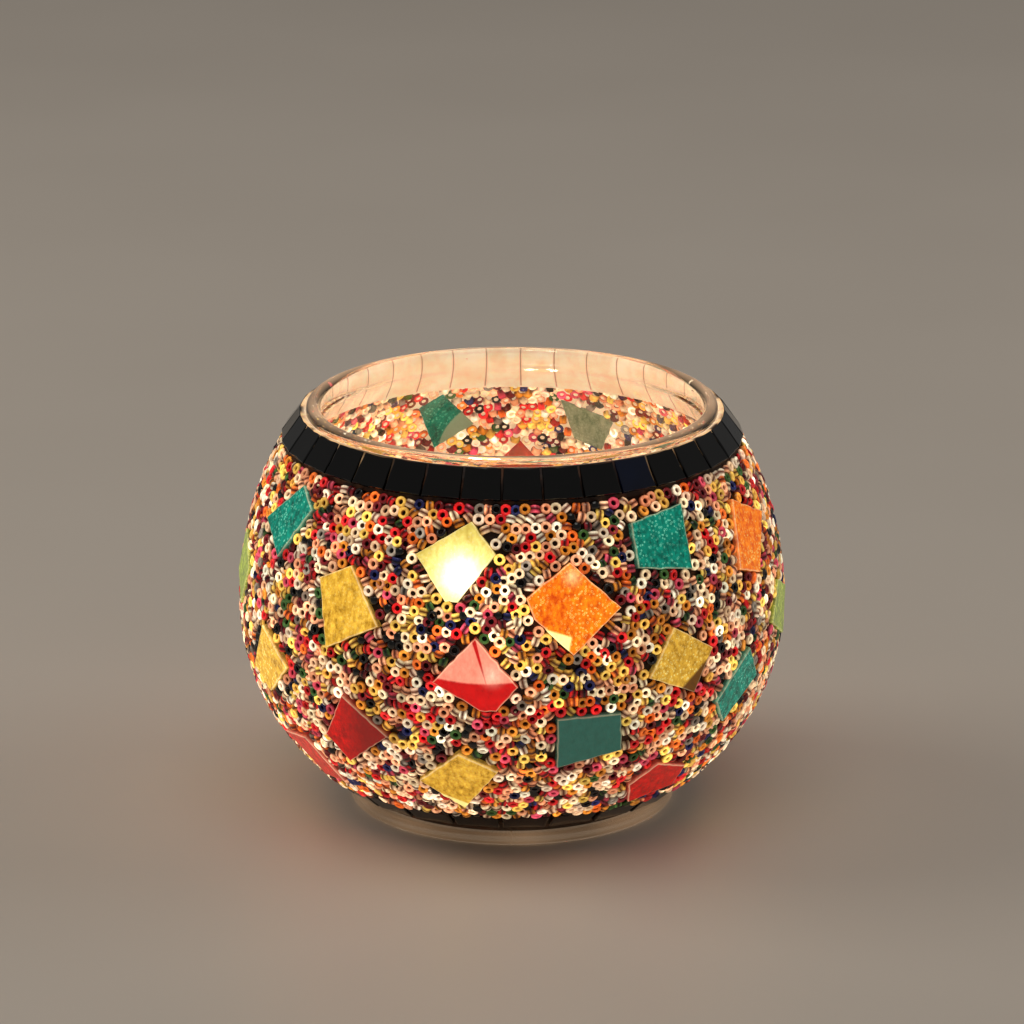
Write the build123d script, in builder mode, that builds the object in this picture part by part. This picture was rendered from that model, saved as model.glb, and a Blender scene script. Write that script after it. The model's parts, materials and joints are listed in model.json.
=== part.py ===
"""A mosaic candle bowl: clear glass, clad in seed beads and flat glass tiles, holding a tealight.

Millimetres, +Z up. The origin is the middle of the foot's underside. Azimuths are in degrees from
the front (-Y) towards the right (+X), and heights are those of the clad surface above the table.
"""

from build123d import *

import math
import os
from dataclasses import dataclass

os.makedirs("parts", exist_ok=True)

# The clad body is turned from three arcs that run into each other: shoulder, flank and heel. The
# shoulder passes through the neck, and the heel ends at the foot; setbacks are from body_radius.
body_radius = 60.0
overall_height = 90.0
equator_height = 45.5
neck_setback = 11.622
neck_drop = 4.6
flank_radius = 48.2
flank_sweep = 39.3
heel_setback = 24.005

# The layers, from the bead tops inwards
cladding_depth = 2.8
grout_thickness = 1.1
glass_wall = 3.0

# The glass bowl's own features
lip_setback = 15.2
lip_turn_radius = 4.0
floor_thickness = 5.0
floor_fillet = 3.0
foot_setback = 24.2
foot_height = 2.5
foot_rounding = 0.8

# The black tile course round the shoulder
border_count = 36
border_blue_index = 3
border_first_azimuth = 2.5
border_length = 7.1
border_thickness = 1.5
border_lean_over = 3.52
border_setback = 11.9
border_sunk = 1.5
border_joint = 0.45
border_grout_recess = 0.7

# The dark tile course round the heel
base_count = 24
base_first_azimuth = 4.0
base_length = 5.6
base_thickness = 1.5
base_height = 6.3
base_joint = 0.6

# The coloured mosaic tiles and the beads round them
mosaic_thickness = 2.0
mosaic_bedding = 0.4
mosaic_arris = 0.2
pocket_clearance = 0.35
pocket_reach = 3
jacket_border_gap = 0.05
jacket_base_gap = 0.9

# The tealight, standing a little left of and behind the middle
candle_x = -8.5
candle_y = 3.0
cup_radius = 18.6
cup_wall = 0.3
cup_height = 24.0
cup_rim_radius = 0.45
wax_depth = 20.0
wax_dish = 0.8
wax_rim_width = 1.5
wick_radius = 0.8
wick_above_wax = 6.0
sustainer_radius = 6.5
sustainer_plate = 0.3
sustainer_neck_radius = 1.5
sustainer_neck_height = 3.0

# Worked out from the above: the arcs' radii and centres, as (radius, height)
lip_outer_radius = body_radius - lip_setback
foot_radius = body_radius - foot_setback
neck_height = overall_height - neck_drop
neck_rise = neck_height - equator_height
shoulder_radius = (neck_setback**2 + neck_rise**2) / (2 * neck_setback)
shoulder_centre = (body_radius - shoulder_radius, equator_height)
flank_centre = (body_radius - flank_radius, equator_height)
flank_cosine = math.cos(math.radians(flank_sweep))
flank_sine = math.sin(math.radians(flank_sweep))
flank_end = (
    flank_centre[0] + flank_radius * flank_cosine,
    flank_centre[1] - flank_radius * flank_sine,
)
heel_run = (body_radius - heel_setback - flank_end[0], foot_height - flank_end[1])
heel_radius = math.hypot(*heel_run) ** 2 / (2 * (heel_run[1] * flank_sine - heel_run[0] * flank_cosine))
heel_centre = (flank_end[0] - heel_radius * flank_cosine, flank_end[1] + heel_radius * flank_sine)
glass_depth = cladding_depth
grout_depth = cladding_depth - grout_thickness
inner_depth = glass_depth + glass_wall
lip_turn_angle = math.degrees(
    math.acos(
        (lip_outer_radius + lip_turn_radius - shoulder_centre[0])
        / (shoulder_radius - glass_depth + lip_turn_radius)
    )
)


@dataclass
class Tile:
    """One flat mosaic tile: its colour, where its middle sits, and its outline seen from outside."""

    colour: str
    azimuth: float
    height: float
    outline: list


mosaic_tiles = [
    Tile("teal", -60, 72, [(1.5, 7.5), (7.5, 3.5), (0, -9), (-9, -2.5)]),
    Tile("lime", -82, 55, [(-3, 7.5), (8.5, 2), (2, -8), (-8, -3)]),
    Tile("gold", -37.5, 58.5, [(-7, 4.5), (1, 8.5), (9.5, -3), (-3.5, -10)]),
    Tile("yellow", -12, 69.5, [(2.5, 9.5), (8, 3), (0.5, -7.5), (-2, -7.5), (-9, 2)]),
    Tile("orange", 10.5, 62, [(2, 8.5), (12.5, -1.5), (2, -11), (-6, -3), (-7.5, 1.5)]),
    Tile("teal", 35, 72, [(-6.5, 5), (7, 7), (6.5, -7), (-7, -4.5)]),
    Tile("orange", 64, 66.5, [(-3, 9.5), (9, 3.5), (1, -8), (-7.5, -5)]),
    Tile("lime", 78, 47, [(-1.5, 6.5), (7.5, 2.5), (4, -7.5), (-9, -1)]),
    Tile("gold", 37.5, 46, [(-2.5, 8), (8, 1.5), (3, -7.5), (-9, -2)]),
    Tile("teal", 55.5, 35.5, [(2.5, 8.5), (8, 0.5), (-3, -7.5), (-7.5, -1.5)]),
    Tile("rose", -6.5, 44.5, [(-1, 10.5), (8, 0), (3.5, -5.5), (0, -5.5), (-10, 0.5)]),
    Tile("red", -37, 29.5, [(0, 9.5), (10, 1), (-2.5, -8.5), (-7.5, -2.5)]),
    Tile("red", -57, 17, [(-7, 6), (3, 8), (6.5, -5), (-2.5, -6.5)]),
    Tile("gold", -12, 21, [(0.5, 8), (8.5, 3), (0, -9.5), (-9, -1.5)]),
    Tile("teal", 16.5, 31.5, [(-7.5, 5.5), (6.5, 5.5), (7.5, -4), (-6.5, -7)]),
    Tile("red", 38, 16, [(-2.5, 7), (7, 3), (7, -4), (-4, -6.5), (-7.5, 1)]),
    Tile("gold", -62.5, 39, [(-0.5, 8.5), (9.5, 1.5), (-1, -7), (-8, -3)]),
    Tile("gold", 106, 69, [(-1, 8), (8, 1), (0.5, -8), (-8.5, -2)]),
    Tile("sage", 159.5, 71, [(-5.5, 2), (7, 7), (5, -4), (-1.5, -6.5)]),
    Tile("teal", 198, 73, [(0.5, 7), (6, 3.5), (1, -8.5), (-8, -2.5)]),
    Tile("orange", 243, 71, [(-4, 8), (7, 5.5), (5.5, -7), (-7.5, -4)]),
    Tile("teal", 131, 58, [(-7, 5), (6, 7.5), (8, -5), (-6, -7)]),
    Tile("red", 178, 56, [(0, 9.5), (8.5, 0.5), (0.5, -8.5), (-8.5, -0.5)]),
    Tile("gold", 221, 57, [(-6, 6), (4.5, 8), (8, -5.5), (-5, -7.5)]),
    Tile("red", 257, 53, [(1.5, 8), (8.5, 0), (-1, -8.5), (-8, 0.5)]),
    Tile("orange", 107, 44, [(-6.5, 5.5), (5, 7.5), (7, -5), (-7, -6)]),
    Tile("gold", 153, 44, [(0.5, 8.5), (8.5, 1.5), (-1.5, -8), (-8, -1.5)]),
    Tile("teal", 198, 42, [(-7, 4), (3, 8), (8, -3.5), (-3, -8.5)]),
    Tile("orange", 236, 38, [(2, 8.5), (8.5, -1), (-2, -7.5), (-7.5, 2)]),
    Tile("red", 127, 30, [(-5, 7), (7, 5), (5.5, -7), (-7.5, -4.5)]),
    Tile("teal", 173, 29, [(1, 8.5), (8, -1), (-1, -8), (-8, 1)]),
    Tile("red", 215, 25, [(-7.5, 4.5), (5, 7), (7.5, -4), (-5, -7)]),
    Tile("gold", 262, 28, [(-1.5, 8), (8.5, 1), (2, -8), (-8, -1)]),
    Tile("teal", 95, 22, [(1.5, 8), (8, 1.5), (-1, -8), (-8, -1.5)]),
    Tile("gold", 146, 16.5, [(-6, 5.5), (6.5, 6), (6, -5.5), (-6.5, -5)]),
    Tile("orange", 194, 17, [(0.5, 7), (7.5, 0), (-0.5, -6.5), (-7, 0.5)]),
    Tile("teal", 238, 17, [(-6.5, 4.5), (4, 7), (6.5, -4.5), (-4, -6.5)]),
]


def surface_point(height):
    """Radius of the bead tops at a height, and the angle of the outward normal above level."""
    rise = height - equator_height
    if rise >= 0:
        centre, radius = shoulder_centre, shoulder_radius
    elif rise >= -flank_radius * math.sin(math.radians(flank_sweep)):
        centre, radius = flank_centre, flank_radius
    else:
        centre, radius = heel_centre, heel_radius
    angle = math.asin((height - centre[1]) / radius)
    return centre[0] + radius * math.cos(angle), math.degrees(angle)


def at_angle(centre, radius, angle):
    """The (radius, height) point on an arc of the turned profile."""
    turned = math.radians(angle)
    return (centre[0] + radius * math.cos(turned), centre[1] + radius * math.sin(turned))


def heel_angle_at(height, depth):
    """Where the heel arc, a depth below the bead tops, passes a height."""
    return math.degrees(math.asin((height - heel_centre[1]) / (heel_radius - depth)))


def body_arcs(depth, low_angle, high_angle):
    """Draws the turned profile a depth below the bead tops, from the heel up to the shoulder."""
    CenterArc(heel_centre, heel_radius - depth, low_angle, -flank_sweep - low_angle)
    CenterArc(flank_centre, flank_radius - depth, -flank_sweep, flank_sweep)
    CenterArc(shoulder_centre, shoulder_radius - depth, 0, high_angle)


def seat_plane(azimuth, height, depth):
    """A plane on the clad surface, a depth below the bead tops, facing outwards with its y axis up."""
    radius, tilt = surface_point(height)
    return leaning_plane(azimuth, radius, height, tilt, depth)


def leaning_plane(azimuth, radius, height, tilt, depth):
    """A plane at a radius and height, its normal tilted up from level, moved inwards by a depth."""
    turned = math.radians(azimuth)
    tilted = math.radians(tilt)
    across = Vector(math.cos(turned), math.sin(turned), 0)
    level = Vector(math.sin(turned), -math.cos(turned), 0)
    outward = level * math.cos(tilted) + Vector(0, 0, 1) * math.sin(tilted)
    middle = level * radius + Vector(0, 0, height)
    return Plane(origin=middle - outward * depth, x_dir=across, z_dir=outward)


def course_outline(plane, length, count, joint):
    """Corners of one tile of a course: as wide as its share of the turn less a joint, at each end."""
    corners = []
    for side, y in ((-1, length / 2), (1, length / 2), (1, -length / 2), (-1, -length / 2)):
        point = plane.from_local_coords(Vector(0, y, 0))
        width = 2 * math.hypot(point.X, point.Y) * math.tan(math.pi / count) - joint
        corners.append((side * width / 2, y))
    return corners


def border_plane(index):
    """The underside of one tile of the black course."""
    azimuth = border_first_azimuth + index * 360 / border_count
    return leaning_plane(azimuth, border_middle_radius, neck_height, border_lean, border_sunk)


def base_plane(index):
    """The underside of one tile of the heel course."""
    azimuth = base_first_azimuth + index * 360 / base_count
    return seat_plane(azimuth, base_height, cladding_depth - mosaic_bedding)


def mosaic_plane(tile):
    """The underside of one coloured tile."""
    return seat_plane(tile.azimuth, tile.height, cladding_depth - mosaic_bedding)


def write(builder, name):
    """Labels a finished piece and writes it under its own name."""
    builder.part.label = name
    export_step(builder.part, f"parts/{name}.step")


# Worked out levels on the turned profile
foot_arc_angle = heel_angle_at(foot_height, glass_depth)
floor_arc_angle = heel_angle_at(floor_thickness, inner_depth)
lip_turn_centre = at_angle(shoulder_centre, shoulder_radius - glass_depth + lip_turn_radius, lip_turn_angle)
lip_straight_top = overall_height - glass_wall / 2
lip_middle_radius = lip_outer_radius - glass_wall / 2
lip_inner_radius = lip_outer_radius - glass_wall

# The two courses: every tile of a course has one outline.
border_middle_radius = body_radius - border_setback
border_lean = math.degrees(math.asin(neck_rise / shoulder_radius)) + border_lean_over
border_planes = [border_plane(index) for index in range(border_count)]
border_outline = course_outline(border_planes[0], border_length, border_count, border_joint)
base_planes = [base_plane(index) for index in range(base_count)]
base_outline = course_outline(base_planes[0], base_length, base_count, base_joint)

with BuildPart() as glass_bowl:
    with BuildSketch(Plane.XZ) as bowl_profile:
        with BuildLine():
            foot_meets_wall = at_angle(heel_centre, heel_radius - glass_depth, foot_arc_angle)
            wall_meets_floor = at_angle(heel_centre, heel_radius - inner_depth, floor_arc_angle)
            Polyline((0, 0), (foot_radius, 0), (foot_radius, foot_height), foot_meets_wall)
            body_arcs(glass_depth, foot_arc_angle, lip_turn_angle)
            CenterArc(lip_turn_centre, lip_turn_radius, 180 + lip_turn_angle, -lip_turn_angle)
            Line((lip_outer_radius, lip_turn_centre[1]), (lip_outer_radius, lip_straight_top))
            CenterArc((lip_middle_radius, lip_straight_top), glass_wall / 2, 0, 180)
            Line((lip_inner_radius, lip_straight_top), (lip_inner_radius, lip_turn_centre[1]))
            CenterArc(lip_turn_centre, lip_turn_radius + glass_wall, 180, lip_turn_angle)
            body_arcs(inner_depth, floor_arc_angle, lip_turn_angle)
            Polyline(wall_meets_floor, (0, floor_thickness), (0, 0))
        make_face()
        foot_corners = bowl_profile.vertices().sort_by_distance((foot_radius, foot_height / 2))[:2]
        fillet(foot_corners, foot_rounding)
        floor_corner = bowl_profile.vertices().sort_by_distance(wall_meets_floor)[0]
        fillet(floor_corner, floor_fillet)
    revolve(axis=Axis.Z)
write(glass_bowl, "glass_bowl")

# The adhesive bed lies on the glass from the foot to the lip, and thickens behind the black course.
border_tilt = math.radians(border_lean)
border_low_edge = (
    neck_height
    - border_length / 2 * math.cos(border_tilt)
    - border_sunk * math.sin(border_tilt)
)
jacket_high_angle = surface_point(border_low_edge - jacket_border_gap)[1]
base_high_turn = math.degrees((base_length / 2 + jacket_base_gap) / heel_radius)
jacket_low_angle = surface_point(base_height)[1] + base_high_turn
border_grout_top = (
    border_middle_radius
    - border_length / 2 * math.sin(border_tilt)
    - border_grout_recess * math.cos(border_tilt),
    neck_height
    + border_length / 2 * math.cos(border_tilt)
    - border_grout_recess * math.sin(border_tilt)
    - border_joint,
)

# The room that each tile takes in the layers round it, from its underside outwards
with BuildPart() as mosaic_pockets:
    for tile in mosaic_tiles:
        with BuildSketch(mosaic_plane(tile)):
            Polygon(*tile.outline, align=None)
            offset(amount=pocket_clearance)
        extrude(amount=mosaic_thickness * pocket_reach)

with BuildPart() as course_pockets:
    with BuildSketch(*border_planes):
        Polygon(*border_outline, align=None)
    extrude(amount=border_thickness * pocket_reach)
    with BuildSketch(*base_planes):
        Polygon(*base_outline, align=None)
    extrude(amount=base_thickness * pocket_reach)

with BuildPart() as grout_bed:
    with BuildSketch(Plane.XZ):
        with BuildLine():
            outer_foot_angle = heel_angle_at(foot_height, grout_depth)
            on_glass = at_angle(heel_centre, heel_radius - glass_depth, foot_arc_angle)
            on_foot = at_angle(heel_centre, heel_radius - grout_depth, outer_foot_angle)
            step_in = at_angle(shoulder_centre, shoulder_radius - grout_depth, jacket_high_angle)
            step_out = at_angle(shoulder_centre, shoulder_radius - border_grout_recess, jacket_high_angle)
            Line(on_foot, on_glass)
            body_arcs(glass_depth, foot_arc_angle, lip_turn_angle)
            CenterArc(lip_turn_centre, lip_turn_radius, 180 + lip_turn_angle, -lip_turn_angle)
            Polyline((lip_outer_radius, lip_turn_centre[1]), border_grout_top, step_out, step_in)
            body_arcs(grout_depth, outer_foot_angle, jacket_high_angle)
        make_face()
    revolve(axis=Axis.Z)
    add(mosaic_pockets.part, mode=Mode.SUBTRACT)
    add(course_pockets.part, mode=Mode.SUBTRACT)
write(grout_bed, "grout_bed")

# The beads, several thousand of them, as one closed coat with a pocket round each tile
with BuildPart() as bead_jacket:
    with BuildSketch(Plane.XZ):
        with BuildLine():
            body_arcs(0, jacket_low_angle, jacket_high_angle)
            Line(
                at_angle(shoulder_centre, shoulder_radius, jacket_high_angle),
                at_angle(shoulder_centre, shoulder_radius - grout_depth, jacket_high_angle),
            )
            body_arcs(grout_depth, jacket_low_angle, jacket_high_angle)
            Line(
                at_angle(heel_centre, heel_radius - grout_depth, jacket_low_angle),
                at_angle(heel_centre, heel_radius, jacket_low_angle),
            )
        make_face()
    revolve(axis=Axis.Z)
    add(mosaic_pockets.part, mode=Mode.SUBTRACT)
write(bead_jacket, "bead_jacket")

# The black course, with its one blue tile kept apart, and the dark course at the heel
for name, indices in (
    ("border_tiles", [i for i in range(border_count) if i != border_blue_index]),
    ("border_tile_blue", [border_blue_index]),
):
    with BuildPart() as border_course:
        with BuildSketch(*[border_planes[i] for i in indices]):
            Polygon(*border_outline, align=None)
        extrude(amount=border_thickness)
    write(border_course, name)

with BuildPart() as base_course:
    with BuildSketch(*base_planes):
        Polygon(*base_outline, align=None)
    extrude(amount=base_thickness)
write(base_course, "base_tiles")

for number, tile in enumerate(mosaic_tiles, start=1):
    plane = mosaic_plane(tile)
    with BuildPart() as mosaic_tile:
        with BuildSketch(plane):
            Polygon(*tile.outline, align=None)
        extrude(amount=mosaic_thickness)
        outer_face = mosaic_tile.faces().sort_by(Axis(plane.origin, plane.z_dir))[-1]
        chamfer(outer_face.edges(), mosaic_arris)
    write(mosaic_tile, f"mosaic_tile_{number:02d}_{tile.colour}")

# The tealight stands loose on the bowl's floor.
candle_plane = Plane(origin=(candle_x, candle_y, floor_thickness), x_dir=(1, 0, 0), z_dir=(0, -1, 0))
candle_axis = Axis((candle_x, candle_y, 0), (0, 0, 1))
cup_inner_radius = cup_radius - cup_wall
wick_bottom = cup_wall + sustainer_plate
wick_top = cup_wall + wax_depth - wax_dish + wick_above_wax
neck_top = wick_bottom + sustainer_neck_height

with BuildPart() as tealight_cup:
    with BuildSketch(candle_plane):
        with BuildLine():
            Polyline(
                (0, 0),
                (cup_radius, 0),
                (cup_radius, cup_height),
                (cup_inner_radius, cup_height),
                (cup_inner_radius, cup_wall),
                (0, cup_wall),
                (0, 0),
            )
        make_face()
        with Locations((cup_radius + cup_rim_radius - cup_wall, cup_height)):
            Circle(cup_rim_radius)
    revolve(axis=candle_axis)
write(tealight_cup, "tealight_cup")

with BuildPart() as wick_sustainer:
    with BuildSketch(candle_plane):
        with BuildLine():
            Polyline(
                (0, cup_wall),
                (sustainer_radius, cup_wall),
                (sustainer_radius, wick_bottom),
                (sustainer_neck_radius, wick_bottom),
                (sustainer_neck_radius, neck_top),
                (wick_radius, neck_top),
                (wick_radius, wick_bottom),
                (0, wick_bottom),
                (0, cup_wall),
            )
        make_face()
    revolve(axis=candle_axis)
write(wick_sustainer, "wick_sustainer")

with BuildPart() as wick:
    with BuildSketch(candle_plane):
        with BuildLine():
            Polyline(
                (0, wick_bottom),
                (wick_radius, wick_bottom),
                (wick_radius, wick_top),
                (0, wick_top),
                (0, wick_bottom),
            )
        make_face()
    revolve(axis=candle_axis)
write(wick, "wick")

with BuildPart() as tealight_wax:
    with BuildSketch(candle_plane):
        with BuildLine():
            Polyline(
                (wick_radius, neck_top),
                (sustainer_neck_radius, neck_top),
                (sustainer_neck_radius, wick_bottom),
                (sustainer_radius, wick_bottom),
                (sustainer_radius, cup_wall),
                (cup_inner_radius, cup_wall),
                (cup_inner_radius, cup_wall + wax_depth),
                (cup_inner_radius - wax_rim_width, cup_wall + wax_depth - wax_dish),
                (wick_radius, cup_wall + wax_depth - wax_dish),
                (wick_radius, neck_top),
            )
        make_face()
    revolve(axis=candle_axis)
write(tealight_wax, "tealight_wax")
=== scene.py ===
"""A mosaic candle bowl of clear glass, seed beads and flat glass tiles, with a lit tealight.

Sizes in the classes are millimetres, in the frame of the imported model: the origin is the middle of
the foot's underside, +Z is up and -Y is the front. Azimuths run from the front towards +X.
"""

import json
import logging
import math
from dataclasses import dataclass
from enum import Enum
from typing import Callable, Iterable, Iterator, Sequence

import bpy
import numpy as np
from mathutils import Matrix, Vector, kdtree

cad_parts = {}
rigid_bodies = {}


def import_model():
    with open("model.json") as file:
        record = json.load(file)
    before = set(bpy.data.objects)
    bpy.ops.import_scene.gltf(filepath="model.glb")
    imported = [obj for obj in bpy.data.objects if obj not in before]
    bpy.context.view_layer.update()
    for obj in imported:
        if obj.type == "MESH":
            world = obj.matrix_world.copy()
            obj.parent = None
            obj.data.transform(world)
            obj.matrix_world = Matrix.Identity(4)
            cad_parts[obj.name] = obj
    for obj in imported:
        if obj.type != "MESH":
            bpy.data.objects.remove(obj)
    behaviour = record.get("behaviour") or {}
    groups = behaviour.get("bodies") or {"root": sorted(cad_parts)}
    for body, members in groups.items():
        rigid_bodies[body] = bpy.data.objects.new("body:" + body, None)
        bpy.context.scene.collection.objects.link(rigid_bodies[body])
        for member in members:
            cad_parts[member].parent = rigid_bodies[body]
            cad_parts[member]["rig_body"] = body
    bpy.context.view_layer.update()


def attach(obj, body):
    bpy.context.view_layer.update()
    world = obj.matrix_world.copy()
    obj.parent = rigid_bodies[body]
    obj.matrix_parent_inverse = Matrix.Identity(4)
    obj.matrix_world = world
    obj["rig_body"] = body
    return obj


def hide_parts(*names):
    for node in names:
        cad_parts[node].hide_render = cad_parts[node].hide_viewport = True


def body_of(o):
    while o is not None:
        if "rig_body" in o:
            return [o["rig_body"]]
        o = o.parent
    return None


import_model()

LOG = logging.getLogger("mosaic_bowl")
MM = 0.001
BOWL = "bowl"
TEALIGHT = "tealight"
Colour = tuple[float, float, float]
Outline = list[tuple[float, float]]


def linear(red: float, green: float, blue: float) -> Colour:
    """Turns a display colour into the light values that a shader takes.

    Args:
        red: Red, from 0 to 255.
        green: Green, from 0 to 255.
        blue: Blue, from 0 to 255.

    Returns:
        The colour as three numbers from 0 to 1.
    """
    return tuple((channel / 255.0) ** 2.2 for channel in (red, green, blue))


# ---------------------------------------------------------------- shapes


@dataclass(frozen=True)
class BodyProfile:
    """The turned outline of the bead tops: shoulder, flank and heel arcs that run together."""

    body_radius: float = 60.0
    overall_height: float = 90.0
    equator_height: float = 45.5
    neck_setback: float = 11.622
    neck_drop: float = 4.6
    flank_radius: float = 48.2
    flank_sweep: float = 39.3
    heel_setback: float = 24.005
    foot_height: float = 2.5

    @property
    def neck_height(self) -> float:
        """Height of the black course's middle."""
        return self.overall_height - self.neck_drop

    @property
    def shoulder_radius(self) -> float:
        """Radius of the shoulder arc, which passes through the neck."""
        rise = self.neck_height - self.equator_height
        return (self.neck_setback**2 + rise**2) / (2 * self.neck_setback)

    @property
    def shoulder_centre(self) -> tuple[float, float]:
        """Centre of the shoulder arc as radius and height."""
        return self.body_radius - self.shoulder_radius, self.equator_height

    @property
    def flank_centre(self) -> tuple[float, float]:
        """Centre of the flank arc as radius and height."""
        return self.body_radius - self.flank_radius, self.equator_height

    @property
    def heel(self) -> tuple[float, float, float]:
        """Radius of the heel arc, and its centre as radius and height.

        Returns:
            The radius, and the centre's radius and height.
        """
        cosine = math.cos(math.radians(self.flank_sweep))
        sine = math.sin(math.radians(self.flank_sweep))
        end = (
            self.flank_centre[0] + self.flank_radius * cosine,
            self.flank_centre[1] - self.flank_radius * sine,
        )
        run = (self.body_radius - self.heel_setback - end[0], self.foot_height - end[1])
        radius = math.hypot(*run) ** 2 / (2 * (run[1] * sine - run[0] * cosine))
        return radius, end[0] - radius * cosine, end[1] + radius * sine

    def tilt_at(self, height: float) -> float:
        """Angle of the outward normal above level at a height of the bead tops, in radians.

        Args:
            height: Height on the bead tops.

        Returns:
            The slope angle.
        """
        if height >= self.equator_height:
            return math.asin((height - self.equator_height) / self.shoulder_radius)
        drop = self.flank_radius * math.sin(math.radians(self.flank_sweep))
        if height >= self.equator_height - drop:
            return math.asin((height - self.equator_height) / self.flank_radius)
        radius, _, centre_height = self.heel
        return math.asin((height - centre_height) / radius)

    def point(self, tilt: float, depth: float) -> tuple[float, float]:
        """Finds a point of the profile by the slope there.

        Args:
            tilt: Angle of the outward normal above level, in radians.
            depth: How far below the bead tops the point lies.

        Returns:
            The point as radius and height.
        """
        if tilt >= 0:
            centre, radius = self.shoulder_centre, self.shoulder_radius
        elif tilt >= -math.radians(self.flank_sweep):
            centre, radius = self.flank_centre, self.flank_radius
        else:
            radius, *centre = self.heel
        reach = radius - depth
        return centre[0] + reach * math.cos(tilt), centre[1] + reach * math.sin(tilt)

    def run(self, low: float, high: float, depth: float, steps: int) -> Outline:
        """Lists points of the profile between two slopes.

        Args:
            low: Slope angle at the first point, in radians.
            high: Slope angle at the last point, in radians.
            depth: How far below the bead tops the points lie.
            steps: How many spaces there are between the points.

        Returns:
            Points as radius and height.
        """
        return [self.point(low + (high - low) * i / steps, depth) for i in range(steps + 1)]


BODY = BodyProfile()


@dataclass(frozen=True)
class Seat:
    """A flat place on the body: its middle, and the directions across, up and out, as arrays."""

    middle: np.ndarray
    across: np.ndarray
    up: np.ndarray
    outward: np.ndarray

    @classmethod
    def leaning(cls, azimuth: float, radius: float, height: float, tilt: float) -> "Seat":
        """Sets a seat by its place and lean.

        Args:
            azimuth: Degrees from the front towards +X.
            radius: Distance of the middle from the axis.
            height: Height of the middle.
            tilt: Angle of the outward normal above level, in radians.

        Returns:
            The seat.
        """
        turned = math.radians(azimuth)
        across = np.array([math.cos(turned), math.sin(turned), 0.0])
        level = np.array([math.sin(turned), -math.cos(turned), 0.0])
        outward = level * math.cos(tilt) + np.array([0.0, 0.0, math.sin(tilt)])
        middle = level * radius + np.array([0.0, 0.0, height])
        return cls(middle, across, np.cross(outward, across), outward)

    @classmethod
    def on_body(cls, azimuth: float, height: float, sunk: float) -> "Seat":
        """A seat at an azimuth and height, sunk below the bead tops."""
        tilt = BODY.tilt_at(height)
        top = cls.leaning(azimuth, BODY.point(tilt, 0)[0], height, tilt)
        return cls(top.middle - top.outward * sunk, top.across, top.up, top.outward)

    def place(self, local: np.ndarray) -> np.ndarray:
        """Turns rows of local across, up and out into the frame's coordinates."""
        axes = np.stack([self.across, self.up, self.outward])
        return self.middle + local @ axes


def linked(name: str, data: bpy.types.ID) -> bpy.types.Object:
    """Makes an object of a mesh, lamp or camera and puts it in the scene."""
    made = bpy.data.objects.new(name, data)
    bpy.context.scene.collection.objects.link(made)
    return made


def mesh_object(
    name: str,
    points: np.ndarray,
    faces: Sequence[Sequence[int]],
    material: bpy.types.Material,
    smooth: bool = True,
) -> bpy.types.Object:
    """Makes a mesh object from millimetre points.

    Args:
        name: The piece's name.
        points: Rows of x, y, z in millimetres.
        faces: Corner numbers of each face.
        material: The finish of the whole piece.
        smooth: Whether faces are shaded smooth.

    Returns:
        The object, linked to the scene.
    """
    mesh = bpy.data.meshes.new(name)
    mesh.from_pydata((np.asarray(points) * MM).tolist(), [], [list(face) for face in faces])
    mesh.polygons.foreach_set("use_smooth", [smooth] * len(mesh.polygons))
    mesh.materials.append(material)
    mesh.validate()
    return linked(name, mesh)


def add_attribute(piece: bpy.types.Object, name: str, values: np.ndarray) -> None:
    """Stores one number or one vector for each vertex of a piece."""
    kind, key = ("FLOAT_VECTOR", "vector") if values.ndim == 2 else ("FLOAT", "value")
    layer = piece.data.attributes.new(name, kind, "POINT")
    layer.data.foreach_set(key, values.astype(np.float32).ravel())


def lathe(
    outline: Outline, segments: int, ribs: Callable[[float, float, float], float] | None = None
) -> tuple[np.ndarray, list[tuple[int, ...]]]:
    """Turns a closed outline round the z axis.

    Args:
        outline: Points as radius and height. It starts and ends on the axis, or is a closed ring.
        segments: How many steps the turn has.
        ribs: Gives the radius at an angle from the angle, radius and height.

    Returns:
        Points in millimetres, and faces.
    """
    points: list[tuple[float, float, float]] = []
    rows: list[list[int]] = []
    for radius, height in outline:
        if radius < 1e-6:
            rows.append([len(points)] * segments)
            points.append((0.0, 0.0, height))
            continue
        row = []
        for step in range(segments):
            angle = 2 * math.pi * step / segments
            reach = ribs(angle, radius, height) if ribs else radius
            row.append(len(points))
            points.append((reach * math.sin(angle), -reach * math.cos(angle), height))
        rows.append(row)
    faces: list[tuple[int, ...]] = []
    open_ended = outline[0][0] < 1e-6
    for index in range(len(rows) - 1 if open_ended else len(rows)):
        low, high = rows[index], rows[(index + 1) % len(rows)]
        for step in range(segments):
            after = (step + 1) % segments
            corners = (low[step], low[after], high[after], high[step])
            faces.append(tuple(dict.fromkeys(corners)))
    return np.array(points), faces


def arc(
    centre: tuple[float, float], radius: float, start: float, end: float, steps: int
) -> Outline:
    """Lists points on an arc, its angles in degrees."""
    turned = [math.radians(start + (end - start) * i / steps) for i in range(steps + 1)]
    return [(centre[0] + radius * math.cos(a), centre[1] + radius * math.sin(a)) for a in turned]


# ---------------------------------------------------------------- finishes


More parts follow.
